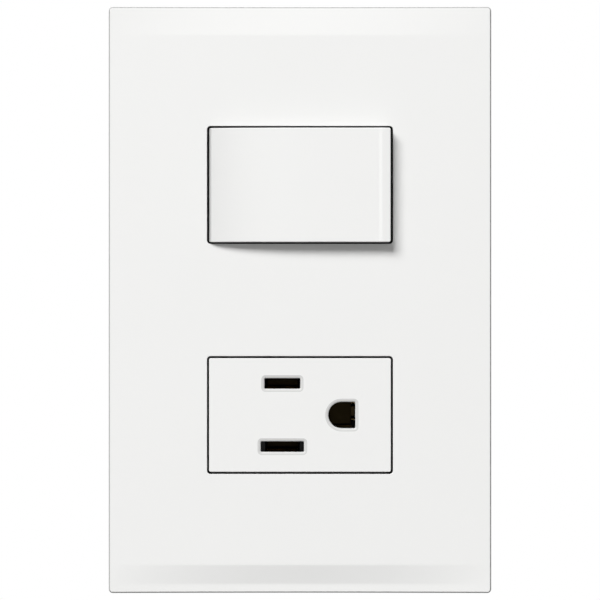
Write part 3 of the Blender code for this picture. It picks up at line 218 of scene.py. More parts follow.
def make_drift() -> None:
    """Slow drift of tone and gloss: value and roughness follow two noises, one 6 times as dense."""
    inputs = {"Vector": None, "Color": (0.8, 0.8, 0.8, 1.0), "Roughness": 0.4, "Scale": 60.0}
    group = Group("tone_drift", inputs | {"Tone": 0.02, "Gloss": 0.05})
    given = group.given
    slow = group.noise(given["Vector"], given["Scale"], 2.0)
    quick = group.noise(given["Vector"], group.math("MULTIPLY", given["Scale"], 6.0), 4.0)
    value = group.math("MULTIPLY_ADD", group.math("SUBTRACT", slow, 0.5), given["Tone"], 1.0)
    gloss = group.math("SUBTRACT", quick, 0.5)
    rough = group.math("MULTIPLY_ADD", gloss, given["Gloss"], given["Roughness"])
    group.close({"Color": group.toned(given["Color"], value), "Roughness": rough})


def make_shade() -> None:
    """Shade in a cavity: a share of the value inside it, clear behind Rear and ahead of Front.

    Both ramps take a millimetre and are clamped to 0 and 1: (y - rear) and (front - y).
    """
    inputs = {"Vector": None, "Color": (0.8, 0.6, 0.3, 1.0), "Front": -0.001, "Rear": 0.012}
    group = Group("depth_shade", inputs | {"Share": 0.1})
    given = group.given
    y = group.add("ShaderNodeSeparateXYZ", {0: given["Vector"]}).outputs["Y"]
    past, before = group.math("SUBTRACT", y, given["Rear"]), group.math("SUBTRACT", given["Front"], y)
    behind, ahead = (group.math("MULTIPLY", run, 1.0 / MM, clamp=True) for run in (past, before))
    room = group.math("SUBTRACT", 1.0, given["Share"])
    value = group.math("MULTIPLY_ADD", group.math("MAXIMUM", behind, ahead), room, given["Share"])
    group.close({"Color": group.toned(given["Color"], value)})


def make_painted_end_shade() -> None:
    """Painted shade on a face whose low end lies in half shadow: its tone falls along X.

    The value is (1 - Fall c cubed) times the seam's ramp. c runs from 0 at X = 0 to 1 at -Reach,
    and the ramp climbs from Seam to 1 over the Width inside -Reach: a painted soft shadow along
    the edge.
    """
    inputs = {"Vector": None, "Color": (0.8, 0.8, 0.8, 1.0), "Reach": 0.018, "Fall": 0.0}
    group = Group("painted_end_shade", inputs | {"Seam": 1.0, "Width": 0.0005})
    given = group.given
    x = group.add("ShaderNodeSeparateXYZ", {0: given["Vector"]}).outputs["X"]
    part = group.math("DIVIDE", group.math("MULTIPLY", x, -1.0), given["Reach"], clamp=True)
    fall = group.math("MULTIPLY", group.math("POWER", part, 3.0), given["Fall"])
    along = group.math("ADD", x, given["Reach"])
    climb = group.math("DIVIDE", along, given["Width"], clamp=True)
    room = group.math("SUBTRACT", 1.0, given["Seam"])
    seam = group.math("ADD", group.math("MULTIPLY", climb, room), given["Seam"])
    value = group.math("MULTIPLY", group.math("SUBTRACT", 1.0, fall), seam)
    group.close({"Color": group.toned(given["Color"], value)})


def make_rolling() -> None:
    """Height of rolling lines in strip metal: a noise drawn out along one direction."""
    group = Group("rolling_lines", {"Vector": None, "Scale": 3000.0})
    drawn = {"Vector": group.given["Vector"], "Scale": (0.04, 1.0, 1.0)}
    place = group.add("ShaderNodeMapping", drawn).outputs[0]
    group.close({"Height": group.noise(place, group.given["Scale"], 3.0)})


@dataclass(frozen=True)
class Finish:
    """A surface finish: a base tone that drifts a little, with a fine relief.

    Colours are linear. relief is the bump's height and texture its scale. shaded is the share of
    the tone that is left between clear_front and clear_rear, levels of Y: painted shade in
    cavities. The end values paint shade on the low end of the rocker's face.
    """

    name: str
    colour: tuple[float, float, float]
    roughness: float
    metallic: float = 0.0
    relief: float = 0.002 * MM
    texture: float = 6000.0
    tone: float = 0.02
    gloss: float = 0.05
    drift: float = 60.0
    rolled: bool = False
    shaded: float = 1.0
    clear_front: float = -0.2 * MM
    clear_rear: float = 15.4 * MM
    specular: float = 0.5
    end_fall: float = 0.0
    end_seam: float = 1.0
    end_reach: float = 18.2 * MM

    def make(self) -> bpy.types.Material:
        """Build the finish as a material, or give it back where it exists."""
        known = bpy.data.materials.get(self.name)
        if known:
            return known
        material = bpy.data.materials.new(self.name)
        material.use_nodes = True
        material.diffuse_color = (*self.colour, 1.0)
        graph = Graph(material.node_tree)
        place = graph.add("ShaderNodeTexCoord").outputs["Object"]
        given = {"Vector": place, "Color": (*self.colour, 1.0), "Roughness": self.roughness}
        given |= {"Scale": self.drift, "Tone": self.tone, "Gloss": self.gloss}
        drift = graph.group("tone_drift", given).outputs
        given = {"Vector": place, "Scale": self.texture}
        relief = graph.group("rolling_lines" if self.rolled else "surface_grain", given).outputs[0]
        bump = graph.add("ShaderNodeBump", {"Distance": self.relief, "Height": relief})
        colour = drift["Color"]
        # Painted shade inside cavities.
        if self.shaded < 1.0:
            given = {"Vector": place, "Color": colour, "Share": self.shaded}
            given |= {"Front": self.clear_front, "Rear": self.clear_rear}
            colour = graph.group("depth_shade", given).outputs[0]
        # Painted shade on the rocker's low end and along its edge.
        if self.end_fall > 0.0:
            given = {"Vector": place, "Color": colour, "Reach": self.end_reach}
            given |= {"Fall": self.end_fall, "Seam": self.end_seam}
            colour = graph.group("painted_end_shade", given).outputs[0]
        inputs = {"Base Color": colour, "Roughness": drift["Roughness"], "Normal": bump.outputs[0]}
        inputs |= {"Metallic": self.metallic, "Specular IOR Level": self.specular}
        graph.feed(material.node_tree.nodes["Principled BSDF"], inputs)
        return material


WHITE = Finish("satin_white", (0.865, 0.865, 0.855), 0.38, relief=0.0012 * MM, tone=0.012, specular=0.32)
# Painted shade: the rocker's white darkens towards its low left end, and more along that edge.
CAP_WHITE = replace(WHITE, name="rocker_white_with_painted_end_shade", end_fall=0.165, end_seam=0.5)
# Painted shade: the outer walls of the plate and the rocker are the same white, darkened to half as if in
# shade.
SIDE_SHADED_WHITE = replace(
    WHITE, name="white_with_painted_side_shade", colour=(0.50, 0.50, 0.495), roughness=0.6,
    relief=0.0016 * MM, tone=0.016, specular=0.06,
)
# The chamfers round the plug holes are toned darker than the front.
BEVEL_WHITE = replace(
    WHITE, name="white_of_the_bevels", colour=(0.66, 0.66, 0.65), roughness=0.42, specular=0.5
)
# Painted shade: the white plastic's walls in the gaps, windows and skirts are made near black, as if deep in
# shade.
PAINTED_GAP_SHADE = Finish("painted_shade_in_the_gaps", (0.035, 0.034, 0.032), 0.6)
HOLE = Finish("shade_of_the_holes", (0.009, 0.009, 0.008), 0.7, specular=0.1)
RESIN = Finish(
    "grey_resin", (0.048, 0.048, 0.051), 0.46, relief=0.004 * MM, texture=3500.0, gloss=0.12
)
BLACK_RESIN = replace(RESIN, name="black_resin", colour=(0.022, 0.022, 0.024), roughness=0.42)
# Painted shade: the module's resin goes dark in front of the frame, where it is seen through the plug holes.
CAVITY_RESIN = replace(
    RESIN, name="grey_resin_painted_shade_in_front", shaded=0.12, clear_front=-FAR,
    clear_rear=-1.0 * MM, specular=0.3,
)
BRASS = Finish(
    "rolled_brass", (0.80, 0.58, 0.26), 0.28, metallic=1.0, relief=0.0015 * MM, texture=2600.0,
    tone=0.14, gloss=0.12, drift=220.0, rolled=True,
)
# Painted shade: the clips darken inside the cavities, clear only at their front ends and behind the
# partition.
CLIP_BRASS = replace(BRASS, name="clip_brass", roughness=0.34, shaded=0.03)
# Painted shade: the terminal screws darken in front of the partition's rear face, inside the body.
TURNED_BRASS = Finish(
    "turned_brass", (0.78, 0.57, 0.27), 0.24, metallic=1.0, relief=0.001 * MM, texture=5200.0,
    tone=0.10, gloss=0.10, drift=260.0, shaded=0.06, clear_front=-FAR,
)
ZINC = Finish(
    "zinc_plating", (0.66, 0.67, 0.68), 0.30, metallic=1.0, relief=0.001 * MM, texture=4200.0,
    tone=0.10, gloss=0.14, drift=180.0,
)
# Painted shade: the thread's grooves are made dark, as if in shade.
GROOVE_SHADE_ZINC = replace(ZINC, name="zinc_with_painted_groove_shade", colour=(0.18, 0.18, 0.185), roughness=0.5)
SILVER = Finish(
    "silver_tip", (0.90, 0.89, 0.86), 0.26, metallic=1.0, relief=0.001 * MM, texture=5200.0,
    tone=0.05, gloss=0.10, drift=300.0,
)


# Surfaces


def breaks(start: Level, *runs: tuple[float, int]) -> Array:
    """Break points from a start, or on from given ones, through each (stop, steps) pair."""
    stops = [np.atleast_1d(start)]
    for stop, steps in runs:
        stops.append(np.linspace(stops[-1][-1], stop, steps + 1)[1:])
    return np.concatenate(stops)


def both_ways(half: Array) -> Array:
    """Break points on both sides of 0, from those that start at 0."""
    return np.concatenate([-half[:0:-1], half])


def flat(level: float) -> Surface:
    """One level everywhere, as a function of x and z."""
    return lambda x, z: level


def lift(loop: Array, level: Level) -> Array:
    """Points (x, z) of a loop set at a level of Y; returns (n, 3)."""
    return np.stack([loop[:, 0], np.broadcast_to(level, len(loop)), loop[:, 1]], axis=-1)


def spread(first: Array, second: Array, shares: tuple[float, ...], level: Surface) -> list[Array]:
    """Rings between two loops, at shares of the way, set at a level that depends on x and z."""
    loops = [first + (second - first) * share for share in shares]
    return [lift(loop, level(*loop.T)) for loop in loops]


def walls(loop: Array, top: Level, foot: Level, shares: tuple[float, ...]) -> list[Array]:
    """Rings of a straight wall: one loop at shares of the way from the top to the foot."""
    return [lift(loop, top + (foot - top) * share) for share in shares]


def rounding(
    loop: Callable[[float], Array], width: float, top: Level, depth: Level, steps: int
) -> list[Array]:
    """Rings of a rounded edge whose section is a quarter of an ellipse.

    At the angle a from 0 to a quarter turn, the ring lies width (1 - sin a) from the edge's wall
    and depth (1 - cos a) past the top.

    Args:
        loop: gives the loop at a distance from the edge's wall.
        width: the round's width.
        top: the level of the face that it starts from.
        depth: the round's depth.
        steps: one less than the number of rings.

    Returns:
        The rings, from the face to the wall.
    """
    angle = np.linspace(0.0, QUARTER, steps + 1)
    pairs = zip(width * (1.0 - np.sin(angle)), 1.0 - np.cos(angle))
    return [lift(loop(distance), top + depth * share) for distance, share in pairs]


def lathe(
    profile: list[tuple[float, float]], steps: int, axis: Axis, centre: tuple[float, float] = (0.0, 0.0)
) -> list[Array]:
    """Rings of a turned shape.

    Args:
        profile: pairs of a radius and a level along the axis.
        steps: points in a ring.
        axis: the axis of the turning.
        centre: the axis's place in the two other coordinates.

    Returns:
        A ring (steps, 3) for each pair.
    """
    angle = np.linspace(0.0, math.tau, steps, endpoint=False)
    rings = []
    for radius, level in profile:
        coordinates = [radius * np.cos(angle) + centre[0], radius * np.sin(angle) + centre[1]]
        coordinates.insert(axis.value, np.full(steps, level))
        rings.append(np.stack(coordinates, axis=-1))
    return rings


@dataclass(frozen=True)
class Rim:
    """The sampling of a rectangle's four sides, for loops that grids can join without gaps.

    xs and zs are the rectangle's break points, ascending. The first and last CORNER_STEPS of each
    belong to the corners: on a rounded loop they run round half of each corner's arc.
    """

    xs: Array
    zs: Array

    def joined(self, right: Array, top: Array, left: Array, bottom: Array) -> Array:
        """One loop from four sides (n, 2) in ascending order: right side up, and on to the left."""
        return np.concatenate([right[:-1], top[:0:-1], left[:0:-1], bottom[:-1]])

    def rectangle(self) -> Array:
        """The loop on the rectangle itself; (n, 2)."""
        xs, zs = self.xs, self.zs
        right, left = (np.stack([np.full(len(zs), x), zs], axis=-1) for x in (xs[-1], xs[0]))
        top, bottom = (np.stack([xs, np.full(len(xs), z)], axis=-1) for z in (zs[-1], zs[0]))
        return self.joined(right, top, left, bottom)

    def side(self, marks: Array, low: float, high: float, radius: float) -> tuple[Array, Array]:
        """One side of a rounded loop.

        Args:
            marks: the side's break points.
            low: where the rounded rectangle starts along the side.
            high: where it ends.
            radius: the corner radius.

        Returns:
            Places along the side, and how far each point lies short of the side's line.
        """
        k = CORNER_STEPS
        sine = np.sin(np.linspace(QUARTER / 2, 0.0, k + 1))[:-1]
        straight = marks[k : len(marks) - k]
        share = (straight - straight[0]) / (straight[-1] - straight[0])
        run = low + radius + share * (high - low - 2 * radius)
        along = np.concatenate([low + radius * (1 - sine), run, high - radius * (1 - sine[::-1])])
        short = np.zeros(len(marks))
        short[:k] = radius * (1 - np.sqrt(1 - sine**2))
        short[-k:] = short[:k][::-1]
        return along, short


@dataclass(frozen=True)
class Outline:
    """A rectangle with round corners in X and Z; low and high are its corners (x, z)."""

    low: Array
    high: Array
    corner: float

    def box(self, grow: float = 0.0) -> tuple[float, float, float, float]:
        """The box, grown: x low, x high, z low, z high."""
        return self.low[0] - grow, self.high[0] + grow, self.low[1] - grow, self.high[1] + grow

    def loop(self, rim: Rim, grow: float = 0.0, corner: float | None = None) -> Array:
        """A loop round the outline with as many points as a rim has.

        Args:
            rim: the sampling.
            grow: how far outside the outline it lies, or inside where negative.
            corner: its corner radius, or None for the outline's own, grown.

        Returns:
            Points (n, 2).
        """
        left, right, low, high = self.box(grow)
        radius = self.corner + grow if corner is None else corner
        z, short_z = rim.side(rim.zs, low, high, radius)
        x, short_x = rim.side(rim.xs, left, right, radius)
        sides = ((right - short_z, z), (x, high - short_x), (left + short_z, z), (x, low + short_x))
        return rim.joined(*(np.stack(side, axis=-1) for side in sides))


@dataclass
class Patchwork:
    """Surface patches gathered into one mesh; their seams close when it is made."""

    points: list[Array] = field(default_factory=list)
    faces: list[Array] = field(default_factory=list)
    finishes: list[int] = field(default_factory=list)
    count: int = 0

    def add(self, points: Array, faces: Array, finish: int) -> None:
        """Keep points (n, 3) and faces that index them, under one finish."""
        self.points.append(points)
        self.faces.append(faces + self.count)
        self.finishes.append(finish)
        self.count += len(points)

    def grid(self, points: Array, finish: int = 0, closed: bool = False, keep: Array | None = None) -> None:
        """Add the quads of a grid of points.

        Args:
            points: (rows, columns, 3).
            finish: index of the finish.
            closed: whether the last column joins the first.
            keep: which cells to keep, (rows - 1, columns - 1), or None for all.
        """
        rows, columns = points.shape[:2]
        index = np.arange(rows * columns).reshape(rows, columns)
        if closed:
            index = np.hstack([index, index[:, :1]])
        quads = np.stack([index[:-1, :-1], index[:-1, 1:], index[1:, 1:], index[1:, :-1]], axis=-1)
        quads = quads[keep] if keep is not None else quads.reshape(-1, 4)
        self.add(points.reshape(-1, 3), quads, finish)

    def rings(self, rings: list[Array], finish: int = 0) -> None:
        """Add the surface through rings (n, 3) of equal count."""
        self.grid(np.stack(rings), finish, closed=True)

    def solid(self, rings: list[Array], finish: int = 0) -> None:
        """Add a closed body through rings, with a flat face at each end."""
        self.rings(rings, finish)
        for ring in (rings[0], rings[-1]):
            self.add(ring, np.arange(len(ring)).reshape(1, -1), finish)

    def take(self, other: "Patchwork", place: Callable[[Array], Array]) -> None:
        """Add another patchwork's patches, with their points put in place by a function."""
        start = self.count
        self.points += [place(points) for points in other.points]
        self.faces += [faces + start for faces in other.faces]
        self.finishes += other.finishes
        self.count += other.count

    def mesh(self, name: str) -> bpy.types.Mesh:
        """Make the mesh: points merged at the seams, faces turned outwards, shaded smooth."""
        points = np.concatenate(self.points)
        corners = np.concatenate([patch.ravel() for patch in self.faces])
        widths = np.concatenate([np.full(len(patch), patch.shape[1]) for patch in self.faces])
        finishes = np.repeat(self.finishes, [len(patch) for patch in self.faces])
        mesh = bpy.data.meshes.new(name)
        mesh.vertices.add(len(points))
        mesh.vertices.foreach_set("co", points.astype(np.float32).ravel())
        mesh.loops.add(len(corners))
        mesh.loops.foreach_set("vertex_index", corners.astype(np.int32))
        mesh.polygons.add(len(widths))
        mesh.polygons.foreach_set("loop_start", (np.cumsum(widths) - widths).astype(np.int32))
        mesh.polygons.foreach_set("material_index", finishes.astype(np.int32))
        mesh.update(calc_edges=True)
        return closed_mesh(mesh)


def closed_mesh(mesh: bpy.types.Mesh, turn: bool = True) -> bpy.types.Mesh:
    """Merge doubles, turn faces outwards where asked, and shade smooth up to the sharp angle."""
    bm = bmesh.new()
    bm.from_mesh(mesh)
    bmesh.ops.remove_doubles(bm, verts=bm.verts, dist=WELD)
    if turn:
        bmesh.ops.recalc_face_normals(bm, faces=bm.faces)
    bm.to_mesh(mesh)
    bm.free()
    mesh.shade_smooth()
    mesh.set_sharp_from_angle(angle=SHARP_ANGLE)
    return mesh


@dataclass(frozen=True)
class Sheet:
    """A rectangular sheet of quads with openings; its level of Y is a function of x and z.

    openings holds index ranges (first x, last x, first z, last z) into the break points.
    """

    xs: Array
    zs: Array
    openings: tuple[tuple[int, ...], ...] = ()

    @classmethod
    def open_at(cls, xs: Array, zs: Array, boxes: list[tuple[float, float, float, float]]) -> "Sheet":
        """A sheet with openings at boxes, which end at the break points nearest to their values."""
        spans = [[np.abs(marks - v).argmin() for marks, v in zip((xs, xs, zs, zs), box)] for box in boxes]
        return cls(xs, zs, tuple(tuple(span) for span in spans))

    def rim(self) -> Rim:
        """The sampling of the sheet's outer edge."""
        return Rim(self.xs, self.zs)

    def opening(self, place: int) -> Rim:
        """The sampling of one opening's edge."""
        left, right, low, high = self.openings[place]
        return Rim(self.xs[left : right + 1], self.zs[low : high + 1])

    def add_to(self, work: Patchwork, level: Surface) -> None:
        """Add the sheet's cells, without those inside the openings."""
        x, z = np.meshgrid(self.xs, self.zs, indexing="ij")
        keep = np.ones((len(self.xs) - 1, len(self.zs) - 1), bool)
        for left, right, low, high in self.openings:
            keep[left:right, low:high] = False
        work.grid(np.stack([x, np.broadcast_to(level(x, z), x.shape), z], axis=-1), keep=keep)


def publish(
    mesh: bpy.types.Mesh, body: Body, finishes: tuple[Finish, ...], replaced: str
) -> None:
    """Make a mesh a piece of the part.

    Args:
        mesh: the finished mesh; the piece takes its name.
        body: the body that it rides on.
        finishes: its finishes, in the order of the mesh's finish indices.
        replaced: the CAD node that it stands for.
    """
    item = bpy.data.objects.new(mesh.name, mesh)
    bpy.context.scene.collection.objects.link(item)
    for finish in finishes:
        mesh.materials.append(finish.make())
    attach(item, body.value)
    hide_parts(replaced)
    LOG.info("%s: %d faces, rides on %s", mesh.name, len(mesh.polygons), body.value)


# Cover plate


@dataclass
class CoverPlate:
    """The moulded plate: a front with sloping ends, two windows with collars, pegs and webs.

    The finish indices are 0 for the front and the inside, 1 for the windows' walls, in painted
    shade, and 2 for the outer walls, a white darkened with painted shade, which start side_from
    steps down the front edge.
    """

    wall: float = 2.0 * MM
    corner: float = 0.8 * MM
    edge: float = 0.35 * MM
    edge_depth: float = 0.7 * MM
    edge_steps: int = 8
    side_from: int = 1
    window_gap: float = 0.4 * MM
    window_corner: float = 0.7 * MM
    window_edge: float = 0.09 * MM
    collar: float = 1.2 * MM
    collar_rear: float = -3.6 * MM
    crease: float = 5.7 * MM
    crease_band: float = 0.4 * MM
    end_band: float = 0.6 * MM
    slope: float = 3.9 * MM
    drop: float = 0.85 * MM
    upper_slope: float = 5.6 * MM
    upper_drop: float = 0.5 * MM
    softness: float = 0.14 * MM
    rear_edge: float = 0.2 * MM
    fillet: float = 0.5 * MM
    apron: float = 1.3 * MM
    collar_apron: float = 1.0 * MM
    margin: float = 1.5 * MM
    sunk: float = 0.3 * MM
    peg_width: float = 5.0 * MM
    peg_half: float = 0.8 * MM
    peg_barb: float = 0.5 * MM
    peg_catch: float = 0.8 * MM
    peg_lead: float = 0.4 * MM
    peg_tip: float = -0.5 * MM
    peg_drawn: float = 0.84
    peg_from_side: float = 4.5 * MM
    peg_from_corner: float = 7.0 * MM
    web: float = 1.2 * MM
    web_reach: float = 4.0 * MM
    web_toe: float = 0.6 * MM
    web_from_frame: float = 1.2 * MM
    web_drawn: float = 0.12 * MM
    web_spacing: float = 22.0 * MM
    web_rows: int = 5

    def __post_init__(self) -> None:
        """Take the plate's and the modules' sizes from the frame."""
        low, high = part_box("cover_plate")
        self.half, self.front_y, self.inner_y = np.array([high.x, high.z]), low.y, low.y + self.wall
        self.outline = Outline(-self.half, self.half, self.corner)
        low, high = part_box("socket_face")
        self.pitch = -(low.z + high.z) / 2
        self.window_half = np.array([high.x - low.x, high.z - low.z]) / 2 + self.window_gap

    def level(self, x: Array, z: Array) -> Array:
        """Level of the front.

        Past the crease it falls back at an even slope and then runs level to the end. The fall
        shrinks from the plate's middle to nothing at its corners, as 1 - x squared, and both
        bends are softened: max(v, 0) becomes (v + root(v squared + s squared)) / 2. The upper
        end slopes less than the lower one, and nearly to the edge.
        """
        slope = np.where(z > 0.0, self.upper_slope, self.slope)
        drop = np.where(z > 0.0, self.upper_drop, self.drop)
        run = np.abs(z) - (self.half[1] - self.crease)
        start = (run + np.sqrt(run**2 + self.softness**2)) / 2
        over = start - slope
        stop = (over + np.sqrt(over**2 + self.softness**2)) / 2
        share = 1.0 - np.clip(x / self.half[0], -1.0, 1.0) ** 2
        return self.front_y + drop * share * (start - stop) / slope

    def window(self, side: int) -> Outline:
        """The outline of the upper window, side 1, or of the lower one, side -1."""
        centre = np.array([0.0, side * self.pitch])
        return Outline(centre - self.window_half, centre + self.window_half, self.window_corner)

    def sheet(self, inset: float, room: float) -> Sheet:
        """A sheet with both windows open.

        Args:
            inset: how far the sheet's edge lies inside the plate's.
            room: how far an opening's edge lies outside the window's, and how long the corner
                parts of its break points are.

        Returns:
            The sheet, finer along the creases and the ends.
        """
        (x, z), (wide, rise), k = self.half - inset, self.window_half + room, CORNER_STEPS
        low, high, crease = self.pitch - rise, self.pitch + rise, self.half[1] - self.crease
        half = breaks(0.0, (low, 3), (low + room, k), (high - room, 14), (high, k))
        half = breaks(half, (crease - self.crease_band, 6), (crease + self.crease_band, 10))
        half = breaks(half, (z - self.end_band, 7), (z, k))
        xs = breaks(-x, (room - x, k), (-wide, 7), (room - wide, k), (wide - room, 26), (wide, k))
        xs = breaks(xs, (x - room, 7), (x, k))
        return Sheet.open_at(xs, both_ways(half), [self.window(side).box(room) for side in (-1, 1)])

    def add_shell(self, work: Patchwork) -> None:
        """Add the front, the outer walls, the rim behind, the inner walls and the inner face.

        The outer section is carried round the outline: a quarter of a deep ellipse from the
        front, a straight wall, small rounds behind and a fillet inside.
        """
        front = self.sheet(self.margin, self.apron)
        back = self.sheet(self.wall + self.fillet + self.margin, self.collar + self.collar_apron)
        front.add_to(work, self.level)
        back.add_to(work, flat(self.inner_y))
        rim, outline = front.rim(), self.outline
        start = outline.loop(rim, -self.edge)
        top = self.level(*start.T)
        rings = spread(rim.rectangle(), start, (0.0, 0.5, 0.93, 1.0), self.level)
        edge = rounding(
            lambda inset: outline.loop(rim, -inset), self.edge, top, self.edge_depth, self.edge_steps
        )
        work.rings(rings + edge[1 : self.side_from + 1])
        small, foot = self.rear_edge, self.inner_y + self.fillet
        side = walls(outline.loop(rim), top + self.edge_depth, -small, (0.03, 0.5, 0.97, 1.0))
        work.rings(edge[self.side_from :] + side, finish=2)

        def inside(depth: float, inset: float) -> Array:
            """A loop at a depth from the outer wall plus an inset, with the outline's corners."""
            return outline.loop(rim, -depth - inset, self.corner)

        inner_wall = inside(self.wall, 0.0)
        rings = rounding(partial(inside, 0.0), small, 0.0, -small, 3)[::-1]
        rings += rounding(lambda grow: inside(self.wall, -grow), small, 0.0, -small, 3)
        rings.append(lift(inner_wall, -small + (foot + small) * 0.97))
        rings += rounding(partial(inside, self.wall), self.fillet, self.inner_y, self.fillet, 4)[::-1]
        last = inside(self.wall, self.fillet)
        rings += spread(last, back.rim().rectangle(), (0.07, 1.0), flat(self.inner_y))
        work.rings(rings)
        for place, side_of in enumerate((-1, 1)):
            self.add_window(work, front.opening(place), back.opening(place), self.window(side_of))

    def add_window(self, work: Patchwork, front: Rim, back: Rim, window: Outline) -> None:
        """Add a window's small front round, its wall, and the collar behind it.

        Args:
            work: where the surfaces go.
            front: the sampling of the front's opening.
            back: the sampling of the inner face's opening.
            window: the window's outline.
        """
        edge, rear = self.window_edge, self.collar_rear
        rings = spread(front.rectangle(), window.loop(front, edge), (0.0, 0.5, 0.93, 1.0), self.level)
        rings += rounding(partial(window.loop, front), edge, self.front_y, edge, 4)[1:]
        work.rings(rings)
        work.rings(walls(window.loop(front), self.front_y + edge, rear, (0.0, 0.05, 0.95, 1.0)), finish=1)
        outer = window.loop(back, self.collar)
        rings = spread(window.loop(back), outer, (0.0, 0.9, 1.0), flat(rear))
        rings += walls(outer, rear, self.inner_y, (0.0, 0.1, 0.9, 1.0))
        rings += spread(outer, back.rectangle(), (0.0, 0.1, 1.0), flat(self.inner_y))
        work.rings(rings)

    def add_pegs(self, work: Patchwork) -> None:
        """Add the six snap pegs: a hooked section carried across each peg's width."""
        half, barb, tip, catch = self.peg_half, self.peg_barb, self.peg_tip, self.peg_tip - self.peg_catch
        root = self.inner_y - self.sunk
        section = [(-half, root), (half, root), (half, catch - self.peg_lead), (half, catch)]
        section += [(half + barb, catch), (half + barb, tip - self.peg_catch * 0.75)]
        section = np.array(section + [(half * 0.4, tip), (-half, tip)])
        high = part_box("support_frame")[1]
        from_side, from_corner = self.peg_from_side, self.peg_from_corner
        places = []
        for side in (-1, 1):
            places.append((side * (high.x - from_side), 0.0, side, 0))
            for end in (-1, 1):
                places.append((side * (high.x - from_corner), end * (high.z - from_corner), 0, end))
        middle = section.mean(axis=0)
        ends = ((-0.5, self.peg_drawn), (-0.475, 1.0), (0.475, 1.0), (0.5, self.peg_drawn))
        for x, z, out_x, out_z in places:
            rings = []
            for share, drawn in ends:
                u, y = (middle + (section - middle) * drawn).T
                across = share * self.peg_width
                along = (x + out_x * u, z + across) if out_x else (x + across, z + out_z * u)
                rings.append(np.stack(np.broadcast_arrays(along[0], y, along[1]), axis=-1))
            work.solid(rings)

    def add_webs(self, work: Patchwork) -> None:
        """Add the tapered webs between the front and the side walls, in rows up both sides.

        A web's outline stands across X and Y, and is carried along Z with its ends drawn in.
        """
        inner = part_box("support_frame")[1].x + self.web_from_frame
        outer, root = self.half[0] - self.wall + self.sunk, self.inner_y - self.sunk
        x = np.array([inner, outer, outer, inner])
        y = np.array([root, root, self.inner_y + self.web_reach, self.inner_y + self.web_toe])
        drawn_in = self.web_drawn * np.array([[1.0, 0.0, 0.0, 1.0], [0.0, 0.0, 1.0, 1.0]])
        for row in range(self.web_rows):
            z = (row - (self.web_rows - 1) / 2) * self.web_spacing
            for side in (-1, 1):
                rings = []
                for share, part in ((-0.5, 1.0), (-0.4, 0.0), (0.4, 0.0), (0.5, 1.0)):
                    toe, fall = drawn_in * part
                    level = np.full(4, z + share * self.web)
                    rings.append(np.stack([side * (x + toe), y - fall, level], axis=-1))
                work.solid(rings)

    def build(self) -> None:
        """Build and dress the plate."""
        work = Patchwork()
        self.add_shell(work)
        self.add_pegs(work)
        self.add_webs(work)
        finishes = (WHITE, PAINTED_GAP_SHADE, SIDE_SHADED_WHITE)
        publish(work.mesh("cover_plate_moulding"), Body.BASE, finishes, "cover_plate")


# Rocker


